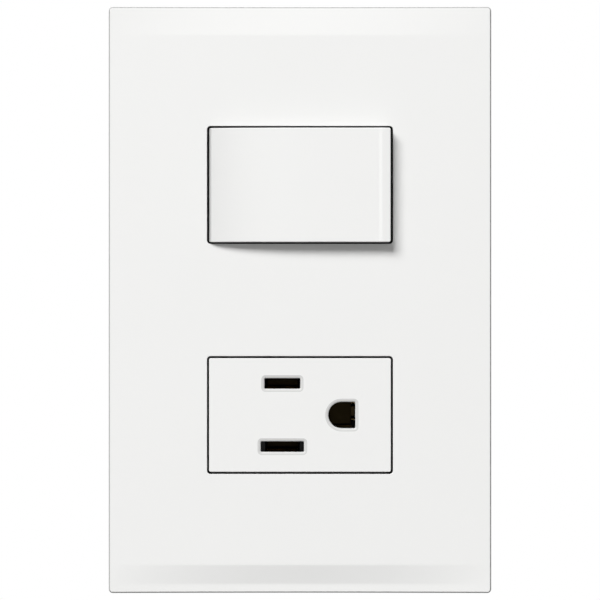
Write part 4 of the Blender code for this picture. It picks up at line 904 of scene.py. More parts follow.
@dataclass
class Rocker:
    """The rocker: a crowned cap, two cheeks with trunnions, and the plunger's stem.

    Its shapes are worked out about the pivot at mid travel, then turned to the pressed pose. The
    cap hangs a little low in its bearings' play. The finish indices are 0 for the front and the
    inside, with painted shade at the front's low end, and 1 for the outer walls, a white darkened
    with painted shade.
    """

    pivot_y: float = -6.6 * MM
    half_travel: float = math.radians(4.5)
    left: float = 18.25 * MM
    right: float = 18.15 * MM
    draft: float = 0.28 * MM
    rise: float = 3.0 * MM
    low_edge: float = 0.1 * MM
    lip: float = 1.66 * MM
    lip_drop: float = 0.115 * MM
    step: float = 0.14 * MM
    step_width: float = 0.65 * MM
    wall: float = 1.5 * MM
    corner: float = 0.38 * MM
    edge: float = 0.17 * MM
    left_edge_share: float = 0.3
    power: float = 3.0
    root: float = 0.37
    margin: float = 0.9 * MM
    part: float = 0.5 * MM
    low_band: float = 4.0 * MM
    before: float = 0.8 * MM
    past: float = 0.9 * MM
    inner_margin: float = 0.5 * MM
    skirt_clearance: float = 0.48 * MM
    skirt_edge: float = 0.2 * MM
    hang: float = 0.07 * MM
    crown_points: int = 4000
    lip_points: int = 600
    sunk: float = 0.3 * MM
    trunnion: float = 1.0 * MM
    trunnion_edge: float = 0.2 * MM
    trunnion_sides: int = 24
    stem_sides: int = 32
    cheek: float = 2.0 * MM
    cheek_width: float = 1.6 * MM
    cheek_inset: float = 1.2 * MM
    cheek_edge: float = 0.12 * MM
    cheek_drawn: float = 0.94
    stem: float = 2.8 * MM
    stem_length: float = 9.5 * MM
    stem_edge: float = 0.25 * MM
    bore: float = 1.7 * MM
    bore_depth: float = 10.0 * MM
    spring_wire: float = 0.2 * MM
    spring_gap: float = 0.3 * MM
    spring_turns: int = 6
    spring_length: float = 5.1 * MM
    spring_steps: int = 36
    spring_closed: float = 2.2

    def __post_init__(self) -> None:
        """Take the rocker's place from the frame, and sample the front's line at mid travel."""
        low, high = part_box("switch_rocker")
        face_low, face_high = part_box("socket_face")
        self.centre_z, self.reach_z = (low.z + high.z) / 2 - self.hang, (high.z - low.z) / 2
        self.half_z, self.front_y = (face_high.z - face_low.z) / 2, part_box("cover_plate")[0].y
        self.crease = self.right - self.lip
        share = np.linspace(0.0, 1.0, self.crown_points) ** 3
        crown = -self.left + (self.crease + self.left) * share
        x = np.concatenate([crown, np.linspace(self.crease, self.right, self.lip_points)[1:]])
        y = self.front_y - self.height(x) - self.pivot_y
        cosine, sine = math.cos(self.half_travel), math.sin(self.half_travel)
        self.line_x, self.line_y = x * cosine - y * sine, x * sine + y * cosine
        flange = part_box("socket_base")[0].y
        self.skirt = flange - self.pivot_y - self.left * sine - self.skirt_clearance

    def height(self, x: Array) -> Array:
        """Height of the pressed cap above the plate.

        It rises as (1 - t to the power) to the root, t running from 1 at the left edge to 0 at
        the crease. A narrow ramp climbs a step up to the crease, and the lip past it falls evenly.
        """
        t = np.clip((self.crease - x) / (self.crease + self.left), 0.0, 1.0)
        rise = self.low_edge + (self.rise - self.low_edge) * (1.0 - t**self.power) ** self.root
        climb = self.step * np.clip(1.0 + (x - self.crease) / self.step_width, 0.0, 1.0)
        fall = self.lip_drop * np.clip((x - self.crease) / self.lip, 0.0, 1.0)
        return rise + climb - fall

    def level(self, x: Array, z: Array) -> Array:
        """Level of the cap's front at mid travel, which is the same for every z."""
        return np.interp(x, self.line_x, self.line_y)

    def ceiling(self, x: Array, z: Array) -> Array:
        """Level of the cap's inner face at mid travel."""
        return self.level(x, z) + self.wall

    def turned(self, points: Array) -> Array:
        """Points about the pivot at mid travel, turned to the pressed pose and put in place."""
        cosine, sine = math.cos(self.half_travel), math.sin(self.half_travel)
        x, y, z = points[..., 0], points[..., 1], points[..., 2]
        placed = [x * cosine + y * sine, y * cosine - x * sine + self.pivot_y, z + self.centre_z]
        return np.stack(placed, axis=-1)

    def outline(self, drawn: float = 0.0) -> Outline:
        """The cap's outline at mid travel, with its two ends drawn in."""
        low = np.array([self.line_x[0] + drawn, -self.half_z])
        return Outline(low, np.array([self.line_x[-1] - drawn, self.half_z]), self.corner)

    def sheet(self) -> Sheet:
        """The sampling of the front, finest at its left end and round the crease."""
        left, right, low, high = self.outline().box(-self.margin)
        crease, k = self.crease * math.cos(self.half_travel), CORNER_STEPS
        xs = breaks(left, (left + self.part, k), (left + self.low_band, 12), (0.0, 22))
        xs = breaks(xs, (crease - self.before, 22), (crease + self.past, 20), (right, k))
        return Sheet(xs, breaks(low, (low + self.part, k), (high - self.part, 14), (high, k)))

    def add_cap(self, work: Patchwork) -> None:
        """Add the cap: crowned front, rounded edge, skirt, and the hollow behind.

        The edge is a quarter of an ellipse between the front and the wall, and on the left the
        wall starts where the crown itself has fallen.
        """
        front = self.sheet()
        front.add_to(work, self.level)
        rim, outline, tip = front.rim(), self.outline(), self.outline(self.draft)
        start, end = outline.loop(rim, -self.edge), outline.loop(rim)
        to_left = np.clip((start[:, 0] - end[:, 0]) / self.edge, 0.0, 1.0)
        top = self.level(*start.T)
        foot = self.level(*end.T) + self.edge * (1.0 - (1.0 - self.left_edge_share) * to_left)
        rings = spread(rim.rectangle(), start, (0.0, 0.5, 0.9, 1.0), self.level)
        rings += rounding(lambda share: end + (start - end) * share, 1.0, top, foot - top, 7)[1:]
        work.rings(rings)
        rings, small = rings[-1:], self.skirt_edge
        for share in (0.04, 0.5, 0.97):
            wall = self.outline(self.draft * share).loop(rim)
            rings.append(lift(wall, foot + (self.skirt - small - foot) * share))
        edge = rounding(lambda inset: tip.loop(rim, -inset, self.corner), small, self.skirt, -small, 3)
        rings += edge[::-1]
        work.rings(rings, finish=1)
        inner = tip.loop(rim, -self.wall, self.corner)
        inner_wall = walls(inner, self.skirt, self.ceiling(*inner.T), (0.0, 0.03, 0.97, 1.0))
        work.rings(rings[-1:] + inner_wall)
        reach = np.array([self.line_x[-1], self.half_z]) - self.wall - self.inner_margin
        scale_x, scale_z = reach / (front.xs[-1], front.zs[-1])
        back = Sheet(front.xs * scale_x, front.zs * scale_z)
        back.add_to(work, self.ceiling)
        work.rings(spread(inner, back.rim().rectangle(), (0.0, 1.0), self.ceiling))

    def add_inner(self, work: Patchwork) -> None:
        """Add the cheeks with their trunnions and the bored stem."""
        under = float(self.ceiling(0.0, 0.0)) - self.sunk
        outer, drawn, small = self.reach_z - self.cheek_inset, self.cheek_drawn, self.cheek_edge
        inner = outer - self.cheek_width
        angle = np.linspace(0.0, math.pi, 17)
        x = np.concatenate([self.cheek * np.cos(angle), [-self.cheek, self.cheek]])
        y = np.concatenate([self.cheek * np.sin(angle), [under, under]])
        section = ((inner, drawn), (inner + small, 1.0), (outer - small, 1.0), (outer, drawn))
        root, end = outer - self.sunk, self.reach_z
        for side in (-1, 1):
            rings = []
            for z, share in section:
                below = y * np.where(y > 0, share, 1.0)
                rings.append(np.stack([x * share, below, np.full_like(x, side * z)], axis=-1))
            work.solid(rings)
            profile = [(self.trunnion, side * root), (self.trunnion, side * (end - self.trunnion_edge))]
            profile.append((self.trunnion - self.trunnion_edge, side * end))
            work.solid(lathe(profile, self.trunnion_sides, Axis.Z))
        end, edge = self.stem_length, self.stem_edge
        profile = [(self.stem, under), (self.stem, end - edge), (self.stem - edge, end)]
        profile += [(self.bore + edge, end), (self.bore, end - edge), (self.bore, end - self.bore_depth)]
        work.solid(lathe(profile, self.stem_sides, Axis.Y))

    def build(self) -> None:
        """Build and dress the rocker and its spring."""
        whites, cap = (CAP_WHITE, SIDE_SHADED_WHITE), (self.add_cap, self.add_inner)
        for name, adders, slot, finishes, node in (
            ("rocker_cap", cap, Slot.WHITE, whites, "switch_rocker"),
            ("spring_coil", (self.add_spring,), Slot.STEEL, (ZINC,), "plunger_spring"),
        ):
            pieces, work = Patchwork(), Patchwork()
            for adder in adders:
                adder(pieces)
            work.take(pieces, self.turned)
            publish(work.mesh(name), Body.ROCKER, finishes, node)

    def add_spring(self, work: Patchwork) -> None:
        """Add the plunger's spring: a round wire carried along a helix.

        The wire's centre is (r cos a, y, r sin a). The level y rises evenly but for the closed
        turn at each end, where it hardly rises. The wire's circle stands on the outward and the
        sideways direction of the helix.
        """
        low = self.stem_length - self.bore_depth + self.spring_gap + self.spring_wire
        high = low + self.spring_length
        radius = self.bore - self.spring_gap - self.spring_wire
        turn = np.linspace(0.0, self.spring_turns, self.spring_turns * self.spring_steps + 1)
        knots = (0.0, 1.0, self.spring_turns - 1.0, self.spring_turns)
        closed = self.spring_closed * self.spring_wire
        level = np.interp(turn, knots, (low, low + closed, high - closed, high))
        angle = turn * math.tau
        out = np.stack([np.cos(angle), np.zeros_like(angle), np.sin(angle)], axis=-1)
        path = out * radius
        path[:, 1] = level
        along = np.gradient(path, axis=0)
        along /= np.linalg.norm(along, axis=1, keepdims=True)
        side = np.cross(along, out)
        wire = np.linspace(0.0, math.tau, 12, endpoint=False)[None, :, None]
        circle = np.cos(wire) * out[:, None] + np.sin(wire) * side[:, None]
        work.solid(list(path[:, None] + self.spring_wire * circle))


# Socket front


@dataclass
class SocketFace:
    """The socket's face: a thin front with three chamfered plug holes, shrouds, skirt and bosses.

    The finish indices are 0 for the front, 1 for the skirt and what lies behind, in painted shade,
    2 for the chamfers and 3 for the holes' walls, in a darker painted shade. Its surfaces are built
    about the face's own centre.
    """

    corner: float = 0.38 * MM
    edge: float = 0.16 * MM
    bevel: float = 0.65 * MM
    bevel_depth: float = 0.22 * MM
    slot_corner: float = 0.22 * MM
    slot_height: float = 2.1 * MM
    line_slot: float = 7.2 * MM
    neutral_slot: float = 8.7 * MM
    blade_x: float = -3.55 * MM
    pitch: float = 12.7 * MM
    earth_x: float = 8.35 * MM
    earth_radius: float = 2.65 * MM
    earth_flat: float = 2.75 * MM
    arc_points: int = 90
    wall: float = 2.2 * MM
    skirt: float = 1.5 * MM
    shroud: float = 1.0 * MM
    part: float = 0.7 * MM
    margin: float = 0.8 * MM
    inner_margin: float = 0.4 * MM
    apron: float = 0.35 * MM
    inner_apron: float = 0.05 * MM
    boss: float = 2.5 * MM
    pilot: float = 1.3 * MM
    sunk: float = 0.3 * MM

    def __post_init__(self) -> None:
        """Take the face's size from the frame, and set out the line, neutral and earth holes."""
        low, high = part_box("socket_face")
        self.centre_z, self.front_y, self.rear_y = (low.z + high.z) / 2, low.y, high.y
        self.inner_y, self.half = low.y + self.wall, np.array([high.x - low.x, high.z - low.z]) / 2
        self.outline = Outline(-self.half, self.half, self.corner)
        self.holes = []
        for length, z in ((self.line_slot, self.pitch / 2), (self.neutral_slot, -self.pitch / 2)):
            centre, reach = np.array([self.blade_x, z]), np.array([length, self.slot_height]) / 2
            self.holes.append(Outline(centre - reach, centre + reach, self.slot_corner))
        left, right = np.array([-self.earth_radius] * 2), np.array([self.earth_flat, self.earth_radius])
        self.earth = np.array([self.earth_x, 0.0])
        self.holes.append(Outline(self.earth + left, self.earth + right, self.slot_corner))

    def earth_outline(self, grow: float) -> Array:
        """The earth hole: half a circle to the left, a flat end with round corners to the right.

        Args:
            grow: how far outside the hole it lies.

        Returns:
            Points (n, 2), with the straight stretches filled in.
        """
        corner, rise = self.slot_corner + grow, self.earth_radius - self.slot_corner
        corner_x = self.earth_x + self.earth_flat - self.slot_corner
        arcs = []
        for x, z, radius, start, stop in (
            (self.earth_x, 0.0, self.earth_radius + grow, 90, 270),
            (corner_x, -rise, corner, 270, 360),
            (corner_x, rise, corner, 0, 90),
        ):
            angle = np.radians(np.linspace(start, stop, self.arc_points))
            arcs.append(np.stack([x + radius * np.cos(angle), z + radius * np.sin(angle)], axis=-1))
        loop = np.concatenate(arcs)[:, None, :]
        shares = np.linspace(0.0, 1.0, 8, endpoint=False)[None, :, None]
        return (loop + (np.roll(loop, -1, axis=0) - loop) * shares).reshape(-1, 2)

    def hole(self, place: int, rim: Rim, grow: float) -> Array:
        """A loop outside one plug hole's outline.

        A slot is a rounded rectangle. The earth hole is read along rays from its centre: each
        point keeps its bearing and takes the outline's distance there.

        Args:
            place: the hole's place in holes.
            rim: the sampling.
            grow: how far outside the hole it lies.

        Returns:
            Points (n, 2).
        """
        rays = self.holes[place].loop(rim, grow)
        if place < len(self.holes) - 1:
            return rays
        outline = self.earth_outline(grow) - self.earth
        bearing, wanted = (np.arctan2(*points.T[::-1]) for points in (outline, rays - self.earth))
        order = np.argsort(bearing)
        distance = np.hypot(*outline.T)[order]
        reach = np.interp(wanted, bearing[order], distance, period=math.tau)
        return self.earth + np.stack([np.cos(wanted), np.sin(wanted)], axis=-1) * reach[:, None]

    def sheet(self, inset: float, room: float) -> Sheet:
        """A sheet with an opening round each plug hole.

        Args:
            inset: how far the sheet's edge lies inside the face's.
            room: how far an opening's edge lies outside the hole's box.

        Returns:
            The sheet, with break points at every opening.
        """
        (x, z), k, part = self.half - inset, CORNER_STEPS, self.part
        boxes = [hole.box(room) for hole in self.holes]
        line, neutral, earth = boxes
        xs = breaks(-x, (part - x, k), (neutral[0], 6), (neutral[0] + part, k), (line[0], 2))
        xs = breaks(xs, (line[0] + part, k), (line[1] - part, 12), (line[1], k), (neutral[1] - part, 2))
        xs = breaks(xs, (neutral[1], k), (earth[0], 3), (earth[0] + part, k), (earth[1] - part, 10))
        xs = breaks(xs, (earth[1], k), (x - part, 5), (x, k))
        half = breaks(0.0, (earth[3] - part, 5), (earth[3], k), (line[2], 1), (line[2] + part, k))
        half = breaks(half, (line[3] - part, 4), (line[3], k), (z - part, 3), (z, k))
        return Sheet.open_at(xs, both_ways(half), boxes)

    def build(self) -> None:
        """Build and dress the face.

        Outside it is a profile carried round the outline; each hole is a chamfer and a straight
        wall through a shroud, and behind, the sheet stands one wall back from the front.
        """
        work = Patchwork()
        front = self.sheet(self.margin, self.bevel + self.apron)
        back = self.sheet(self.skirt + self.inner_margin, self.shroud + self.inner_apron)
        level, inner_level = flat(self.front_y), flat(self.inner_y)
        front.add_to(work, level)
        back.add_to(work, inner_level)
        rim, outline = front.rim(), self.outline
        rings = spread(rim.rectangle(), outline.loop(rim, -self.edge), (0.0, 0.9, 1.0), level)
        rings += rounding(
            lambda inset: outline.loop(rim, -inset), self.edge, self.front_y, self.edge, 6
        )[1:]
        work.rings(rings)
        inner, shares = outline.loop(rim, -self.skirt, self.corner), (0.0, 0.04, 0.96, 1.0)
        rings = walls(outline.loop(rim), self.front_y + self.edge, self.rear_y, shares)
        rings += walls(inner, self.rear_y, self.inner_y, shares)
        work.rings(rings + [lift(back.rim().rectangle(), self.inner_y)], finish=1)
        for place in range(len(self.holes)):
            self.add_hole(work, place, front.opening(place), back.opening(place))
        self.add_bosses(work)
        mesh = work.mesh("socket_front")
        mesh.transform(Matrix.Translation((0.0, 0.0, self.centre_z)))
        finishes = (WHITE, PAINTED_GAP_SHADE, BEVEL_WHITE, HOLE)
        publish(mesh, Body.BASE, finishes, "socket_face")

    def add_hole(self, work: Patchwork, place: int, front: Rim, back: Rim) -> None:
        """Add one plug hole: a bevel, its wall, and the shroud behind the front.

        The bevel is a quarter of a flat ellipse, level with the front where it starts and steep
        at the hole.

        Args:
            work: where the surfaces go.
            place: the hole's place in holes.
            front: the sampling of the front's opening.
            back: the sampling of the inner face's opening.
        """
        hole, y, foot = partial(self.hole, place, front), self.front_y, self.front_y + self.bevel_depth
        work.rings(spread(front.rectangle(), hole(self.bevel), (0.0, 0.8, 1.0), flat(y)))
        work.rings(rounding(hole, self.bevel, y, self.bevel_depth, 8), finish=2)
        outer = self.hole(place, back, self.shroud)
        rim = lift(outer, self.rear_y)
        work.rings(walls(hole(0.0), foot, self.rear_y, (0.0, 0.03, 0.5, 1.0)) + [rim], finish=3)
        work.rings([rim, lift(outer, self.inner_y), lift(back.rectangle(), self.inner_y)], finish=1)

    def add_bosses(self, work: Patchwork) -> None:
        """Add the three screw bosses: short tubes with a blind pilot hole."""
        for node in FACE_SCREWS:
            low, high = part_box(node)
            centre = ((low.x + high.x) / 2, (low.z + high.z) / 2 - self.centre_z)
            profile = [(self.boss, self.inner_y - self.sunk), (self.boss, self.rear_y)]
            profile += [(self.pilot, self.rear_y), (self.pilot, low.y - self.sunk)]
            work.solid(lathe(profile, 24, Axis.Y, centre), finish=1)


# Screws


@dataclass(frozen=True)
class Screw:
    """A slotted pan head screw with a rolled thread, in place of a CAD node's plain one.

    facing is 1 where the head faces the rear and -1 where it faces the front. groove, where it is
    given, paints shade into the thread's grooves.
    """

    node: str
    finish: Finish
    slot: Slot
    head_height: float
    shank: float
    pitch: float
    depth: float
    facing: int = 1
    groove: Finish | None = None
    groove_share: float = 0.32
    thread_power: float = 0.8
    tip_turns: float = 1.0
    tip_share: float = 0.7
    flat_share: float = 0.55
    crown_share: float = 0.4
    slot_width_share: float = 0.3
    slot_depth_share: float = 0.5
    head_edge: float = 0.12 * MM
    columns: int = 32
    rows_a_turn: int = 10

    def thread(self, length: float) -> Array:
        """The threaded shank.

        The radius is the shank's less the depth times |2 f - 1| to the thread's power, f being
        the fraction of (level / pitch - angle / full turn). The depth runs out over the last turn
        below the head, and the tip tapers over its turns to its share of the radius.

        Args:
            length: from the tip to the head's seat.

        Returns:
            Rings from the tip to the seat, (rows, columns, 3).
        """
        rows = int(length / self.pitch * self.rows_a_turn)
        level = np.linspace(-length, 0.0, rows)[:, None]
        angle = np.linspace(0.0, math.tau, self.columns, endpoint=False)[None, :]
        run_out = np.clip(-level / self.pitch, 0.0, 1.0)
        tip = np.clip((level + length) / (self.tip_turns * self.pitch), 0.0, 1.0)
        depth = self.depth * run_out * self.beside_crest(level, angle) ** self.thread_power
        radius = (self.shank - depth) * (self.tip_share + (1.0 - self.tip_share) * tip)
        spread_level = np.broadcast_to(level, radius.shape)
        return np.stack([radius * np.cos(angle), spread_level, radius * np.sin(angle)], axis=-1)

    def beside_crest(self, level: Array, angle: Array) -> Array:
        """How far a point lies from the thread's crest: 0 on it, 1 at the groove's bottom."""
        return np.abs(2.0 * ((level / self.pitch - angle / math.tau) % 1.0) - 1.0)

    def head(self, radius: float) -> list[Array]:
        """The head's rings from its seat up: a rounded seat, the side, and the crowned top."""
        flat_top, crown, edge = radius * self.flat_share, self.head_height * self.crown_share, self.head_edge
        side = self.head_height - crown
        profile = [(radius - edge, 0.0), (radius - 0.3 * edge, 0.3 * edge), (radius, edge), (radius, side)]
        for angle in np.linspace(0.0, QUARTER, 7)[1:]:
            turn, climb = math.cos(angle), math.sin(angle)
            profile.append((flat_top + (radius - flat_top) * turn, side + crown * climb))
        profile.append((flat_top * 0.5, self.head_height))
        return lathe(profile, self.columns, Axis.Y)

    def build(self) -> None:
        """Build the screw where the node is, cut its slot and put it in the node's place."""
        low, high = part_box(self.node)
        seat = high.y - self.head_height if self.facing > 0 else low.y + self.head_height
        length = seat - low.y if self.facing > 0 else high.y - seat
        radius = (high.x - low.x) / 2
        place = np.array([(low.x + high.x) / 2, seat, (low.z + high.z) / 2])
        turned = np.array([1.0, self.facing, 1.0])
        work = Patchwork()
        work.solid([ring * turned + place for ring in (*self.thread(length), *self.head(radius))])
        mesh = work.mesh(self.node + "_threaded")
        half, reach = radius * self.slot_width_share / 2, 1.2 * radius
        shares = (1.0 - self.slot_depth_share, 2.0)
        ends = [seat + self.facing * self.head_height * share for share in shares]
        corner = (place[0] - reach, min(ends), place[2] - half)
        mesh = cut_box(mesh, corner, (place[0] + reach, max(ends), place[2] + half))
        finishes = (self.finish,)
        if self.groove:
            self.mark_grooves(mesh, place)
            finishes += (self.groove,)
        publish(mesh, Body.BASE, finishes, self.node)

    def mark_grooves(self, mesh: bpy.types.Mesh, place: Array) -> None:
        """Give the second finish, a painted shade, to the faces in the thread's grooves.

        A face lies in a groove where its middle is further from the crest than the groove's
        share, and further below the head's seat than that share of a pitch.

        Args:
            mesh: the screw's mesh.
            place: the middle of the head's seat.
        """
        middle = np.empty(len(mesh.polygons) * 3, np.float32)
        mesh.polygons.foreach_get("center", middle)
        x, y, z = (middle.reshape(-1, 3) - place).T
        level = y * self.facing
        deep = self.beside_crest(level, np.arctan2(z, x)) > self.groove_share
        marks = deep & (level < -self.groove_share * self.pitch)
        mesh.polygons.foreach_set("material_index", marks.astype(np.int32))


def cut_box(mesh: bpy.types.Mesh, low: tuple, high: tuple) -> bpy.types.Mesh:
    """Cut a box out of a closed mesh.

    Args:
        mesh: the mesh to cut; it is used up.
        low: the box's lowest corner.
        high: its highest corner.

    Returns:
        The cut mesh, under the same name.
    """
    size, middle = Vector(high) - Vector(low), (Vector(high) + Vector(low)) / 2
    bm = bmesh.new()
    bmesh.ops.create_cube(bm, size=1.0, matrix=Matrix.Translation(middle) @ Matrix.Diagonal((*size, 1.0)))
    tool_mesh = bpy.data.meshes.new("slot_tool")
    bm.to_mesh(tool_mesh)
    bm.free()
    name, scene = mesh.name, bpy.context.scene.collection
    item, tool = bpy.data.objects.new(name, mesh), bpy.data.objects.new("slot_tool", tool_mesh)
    scene.objects.link(item)
    scene.objects.link(tool)
    change = item.modifiers.new("slot", "BOOLEAN")
    change.operation, change.object, change.solver = "DIFFERENCE", tool, "EXACT"
    result = bpy.data.meshes.new_from_object(item.evaluated_get(bpy.context.evaluated_depsgraph_get()))
    for used, data in ((item, mesh), (tool, tool_mesh)):
        bpy.data.objects.remove(used, do_unlink=True)
        bpy.data.meshes.remove(data)
    result.name = name
    result.materials.clear()
    return closed_mesh(result, turn=False)


def make_screws() -> None:
    """Build the box screws, the terminal screws and the screws that hold the socket's face."""
    for end in ("top", "bottom"):
        Screw(
            "mounting_screw_" + end, ZINC, Slot.STEEL, head_height=2.0 * MM, shank=1.75 * MM,
            pitch=0.8 * MM, depth=0.42 * MM, facing=-1, groove=GROOVE_SHADE_ZINC,
        ).build()
    for label in TERMINALS:
        Screw(
            label + "_terminal_screw", TURNED_BRASS, Slot.BRASS, head_height=2.0 * MM,
            shank=1.6 * MM, pitch=0.7 * MM, depth=0.36 * MM,
        ).build()
    for node in FACE_SCREWS:
        Screw(
            node, ZINC, Slot.STEEL, head_height=1.6 * MM, shank=1.0 * MM, pitch=0.9 * MM,
            depth=0.3 * MM, tip_turns=3.0, tip_share=0.35,
        ).build()


# CAD nodes, with softened edges where they have straight ones


def softened(name: str, width: float) -> bpy.types.Mesh | None:
    """A copy of a CAD node's mesh with its sharp edges rounded.

    Triangles of one plane are joined, and each edge that bends past EDGE_ANGLE gets a narrow
    round of two faces.

    Args:
        name: the node.
        width: the round's width.

    Returns:
        The rounded mesh, or None where the round would open the mesh or change its volume.
    """
    bm = bmesh.new()
    bm.from_mesh(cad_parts[name].data)
    bmesh.ops.remove_doubles(bm, verts=bm.verts, dist=WELD)
    bmesh.ops.dissolve_limit(bm, angle_limit=FLAT_ANGLE, verts=bm.verts, edges=bm.edges)
    volume = bm.calc_volume()
    sharp = [edge for edge in bm.edges if edge.is_manifold and edge.calc_face_angle() > EDGE_ANGLE]
    bmesh.ops.bevel(
        bm, geom=sharp, offset=width, offset_type="OFFSET", segments=2, profile=0.5,
        affect="EDGES", clamp_overlap=False, material=-1,
    )
    bmesh.ops.remove_doubles(bm, verts=bm.verts, dist=WELD)
    whole = all(edge.is_manifold for edge in bm.edges)
    kept = abs(bm.calc_volume() / volume - 1.0) < MOST_CHANGE
    mesh = bpy.data.meshes.new(name + "_softened")
    bm.to_mesh(mesh)
    bm.free()
    if not (whole and kept):
        LOG.info("%s: closed %s, volume kept %s, so it keeps its CAD shape", name, whole, kept)
        bpy.data.meshes.remove(mesh)
        return None
    mesh.materials.clear()
    mesh.shade_smooth()
    mesh.set_sharp_from_angle(angle=SOFT_SHARP_ANGLE)
    return mesh


def soften(nodes: tuple[str, ...], body: Body, finish: Finish, width: float) -> None:
    """Put softened copies in the place of CAD nodes, or dress the nodes where that fails.

    Args:
        nodes: the nodes' names.
        body: the body that they ride on.
        finish: the copies' finish.
        width: the width of the rounds.
    """
    for name in nodes:
        mesh = softened(name, width)
        if mesh:
            publish(mesh, body, (finish,), name)
        else:
            dress(name, finish)


def dress(name: str, finish: Finish) -> None:
    """Give a CAD node a finish in place of its plain one."""
    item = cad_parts[name]
    for place in item.material_slots:
        place.material = finish.make()
    if not item.material_slots:
        item.data.materials.append(finish.make())
    LOG.info("%s: CAD node in %s", name, finish.name)


def dress_all() -> None:
    """Soften and dress the CAD nodes that are shown; the plunger keeps the frame's material."""
    base, strips = Body.BASE, ("common_terminal", "fixed_terminal")
    clips = ("line_contact", "neutral_contact", "earth_contact")
    soften(("support_frame",), base, BLACK_RESIN, 0.12 * MM)
    soften(("switch_body",), base, RESIN, 0.12 * MM)
    soften(("socket_base",), base, CAVITY_RESIN, 0.12 * MM)
    soften(strips, base, BRASS, 0.06 * MM)
    soften(("moving_contact",), Body.SEE_SAW, BRASS, 0.06 * MM)
    soften(clips, base, CLIP_BRASS, 0.06 * MM)
    soften(tuple(label + "_clamp_plate" for label in TERMINALS), base, ZINC, 0.08 * MM)
    dress("moving_contact_tip", SILVER)
    dress("fixed_contact_tip", SILVER)


# Studio


def seen(graph: Graph) -> Socket:
    """1 for rays that come from the camera, a mirror or glass, and 0 for the rest."""
    path = graph.add("ShaderNodeLightPath").outputs
    direct = graph.math("MAXIMUM", path["Is Camera Ray"], path["Is Glossy Ray"])
    return graph.math("MAXIMUM", direct, path["Is Transmission Ray"])


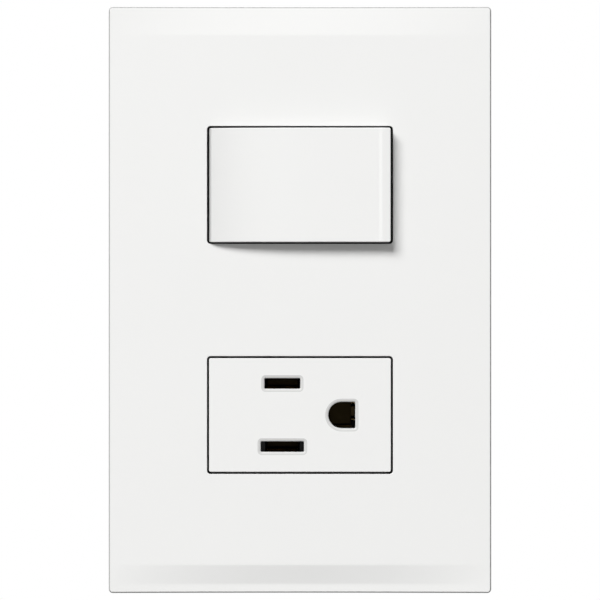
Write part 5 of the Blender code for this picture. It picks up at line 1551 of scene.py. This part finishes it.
@dataclass(frozen=True)
class Studio:
    """Camera, lights, world and floor.

    The camera looks straight at the plate's front. Its lens is long, and its distance follows
    from the width that the photograph takes in at the front's level.
    """

    lens: float = 200.0
    sensor: float = 36.0
    field: float = 120.7 * MM
    front_y: float = -8.0 * MM
    view_reach: float = 10.0
    key_towards: tuple[float, float, float] = (-0.37, -0.715, 0.595)
    key_distance: float = 4.0
    key_width: float = 2.2
    key_height: float = 1.4
    key_power: float = 177.0
    fill_front: float = 0.165
    fill_side: float = 0.08
    fill_right: float = 0.45
    fill_rear: float = 1.15
    floor_drop: float = 0.35
    floor_size: float = 3.0
    floor_tone: float = 0.3
    floor_glow: float = 0.6
    fade_start: float = 0.3
    fade_end: float = 1.3

    def build(self) -> None:
        """Set up the whole studio."""
        bpy.context.scene.view_settings.view_transform = "Standard"
        self.add_camera()
        self.add_key()
        self.add_world()
        self.add_floor()
        LOG.info("studio: %g mm lens, key of %g W", self.lens, self.key_power)

    def add_camera(self) -> None:
        """Place the camera in front of the plate."""
        data = bpy.data.cameras.new("camera")
        data.lens, data.sensor_width, data.clip_end = self.lens, self.sensor, self.view_reach
        camera = bpy.data.objects.new("camera", data)
        camera.location = (0.0, self.front_y - self.field * self.lens / self.sensor, 0.0)
        camera.rotation_euler = (QUARTER, 0.0, 0.0)
        bpy.context.scene.collection.objects.link(camera)
        bpy.context.scene.camera = camera

    def add_key(self) -> None:
        """Place the soft box, upper left of the camera."""
        light = bpy.data.lights.new("key", "AREA")
        light.shape, light.energy = "RECTANGLE", self.key_power
        light.size, light.size_y = self.key_width, self.key_height
        item = bpy.data.objects.new("key", light)
        towards = Vector(self.key_towards).normalized()
        item.location = towards * self.key_distance
        item.rotation_euler = towards.to_track_quat("Z", "Y").to_euler()
        bpy.context.scene.collection.objects.link(item)

    def add_world(self) -> None:
        """Soft light, and white where it is seen or mirrored.

        Its strength is fill_side at the sides and rises to fill_front ahead and to fill_rear
        behind. A lobe on the right, x times -2y, adds fill_right at 45 degrees.
        """
        world = bpy.data.worlds.new("studio")
        bpy.context.scene.world = world
        world.use_nodes = True
        world.node_tree.nodes.clear()
        graph = Graph(world.node_tree)
        place = graph.add("ShaderNodeTexCoord").outputs["Generated"]
        split = graph.add("ShaderNodeSeparateXYZ", {0: place}).outputs
        x, y = split["X"], split["Y"]
        ahead = graph.ramp(y, 0.0, -1.0, self.fill_side, self.fill_front)
        behind = graph.ramp(y, 0.0, 1.0, 0.0, self.fill_rear - self.fill_side, "LINEAR")
        forward = graph.math("MULTIPLY", y, -2.0 * self.fill_right)
        right = graph.math("MULTIPLY", graph.math("MAXIMUM", x), graph.math("MAXIMUM", forward))
        strength = graph.math("ADD", graph.math("ADD", ahead, behind), right)
        white = (1.0, 1.0, 1.0, 1.0)
        fill = graph.add("ShaderNodeBackground", {"Color": white, "Strength": strength})
        backdrop = graph.add("ShaderNodeBackground", {"Color": white, "Strength": 1.0})
        inputs = {0: seen(graph), 1: fill.outputs[0], 2: backdrop.outputs[0]}
        mixed = graph.add("ShaderNodeMixShader", inputs)
        graph.add("ShaderNodeOutputWorld", {"Surface": mixed.outputs[0]})

    def add_floor(self) -> None:
        """Lay a pale floor below the plate."""
        half, level = self.floor_size / 2, CAD_BOX[0].z - self.floor_drop
        mesh = bpy.data.meshes.new("floor")
        corners = [(-half, -half, level), (half, -half, level), (half, half, level), (-half, half, level)]
        mesh.from_pydata(corners, [], [(0, 1, 2, 3)])
        floor = bpy.data.objects.new("floor", mesh)
        bpy.context.scene.collection.objects.link(floor)
        mesh.materials.append(self.floor_finish())

    def floor_finish(self) -> bpy.types.Material:
        """A grey that takes the shadow, seen paler: it glows evenly where it is seen or mirrored.

        Between fade_start and fade_end from the middle, its own tone goes to black and its glow
        to white, so that its far edge can't be told from the background.
        """
        material = bpy.data.materials.new("pale_floor")
        material.use_nodes = True
        nodes = material.node_tree.nodes
        graph, shader = Graph(material.node_tree), nodes["Principled BSDF"]
        place = graph.add("ShaderNodeTexCoord").outputs["Object"]
        level = graph.add("ShaderNodeVectorMath", {0: place, 1: (1.0, 1.0, 0.0)}, operation="MULTIPLY")
        away = graph.add("ShaderNodeVectorMath", {0: level.outputs[0]}, operation="LENGTH").outputs["Value"]
        tone = graph.ramp(away, self.fade_start, self.fade_end, self.floor_tone, 0.0)
        shine = graph.ramp(away, self.fade_start, self.fade_end, self.floor_glow, 1.0)
        graph.feed(shader, {"Base Color": tone, "Roughness": 1.0})
        glow = graph.add("ShaderNodeEmission", {"Strength": graph.math("MULTIPLY", seen(graph), shine)})
        total = graph.add("ShaderNodeAddShader", {0: shader.outputs[0], 1: glow.outputs[0]})
        graph.feed(nodes["Material Output"], {"Surface": total.outputs[0]})
        return material


def main() -> None:
    """Build the groups, the pieces and the studio, in order."""
    for make_group in (make_grain, make_drift, make_rolling, make_shade, make_painted_end_shade):
        make_group()
    CoverPlate().build()
    Rocker().build()
    SocketFace().build()
    make_screws()
    dress_all()
    Studio().build()


if __name__ == "__main__":
    main()
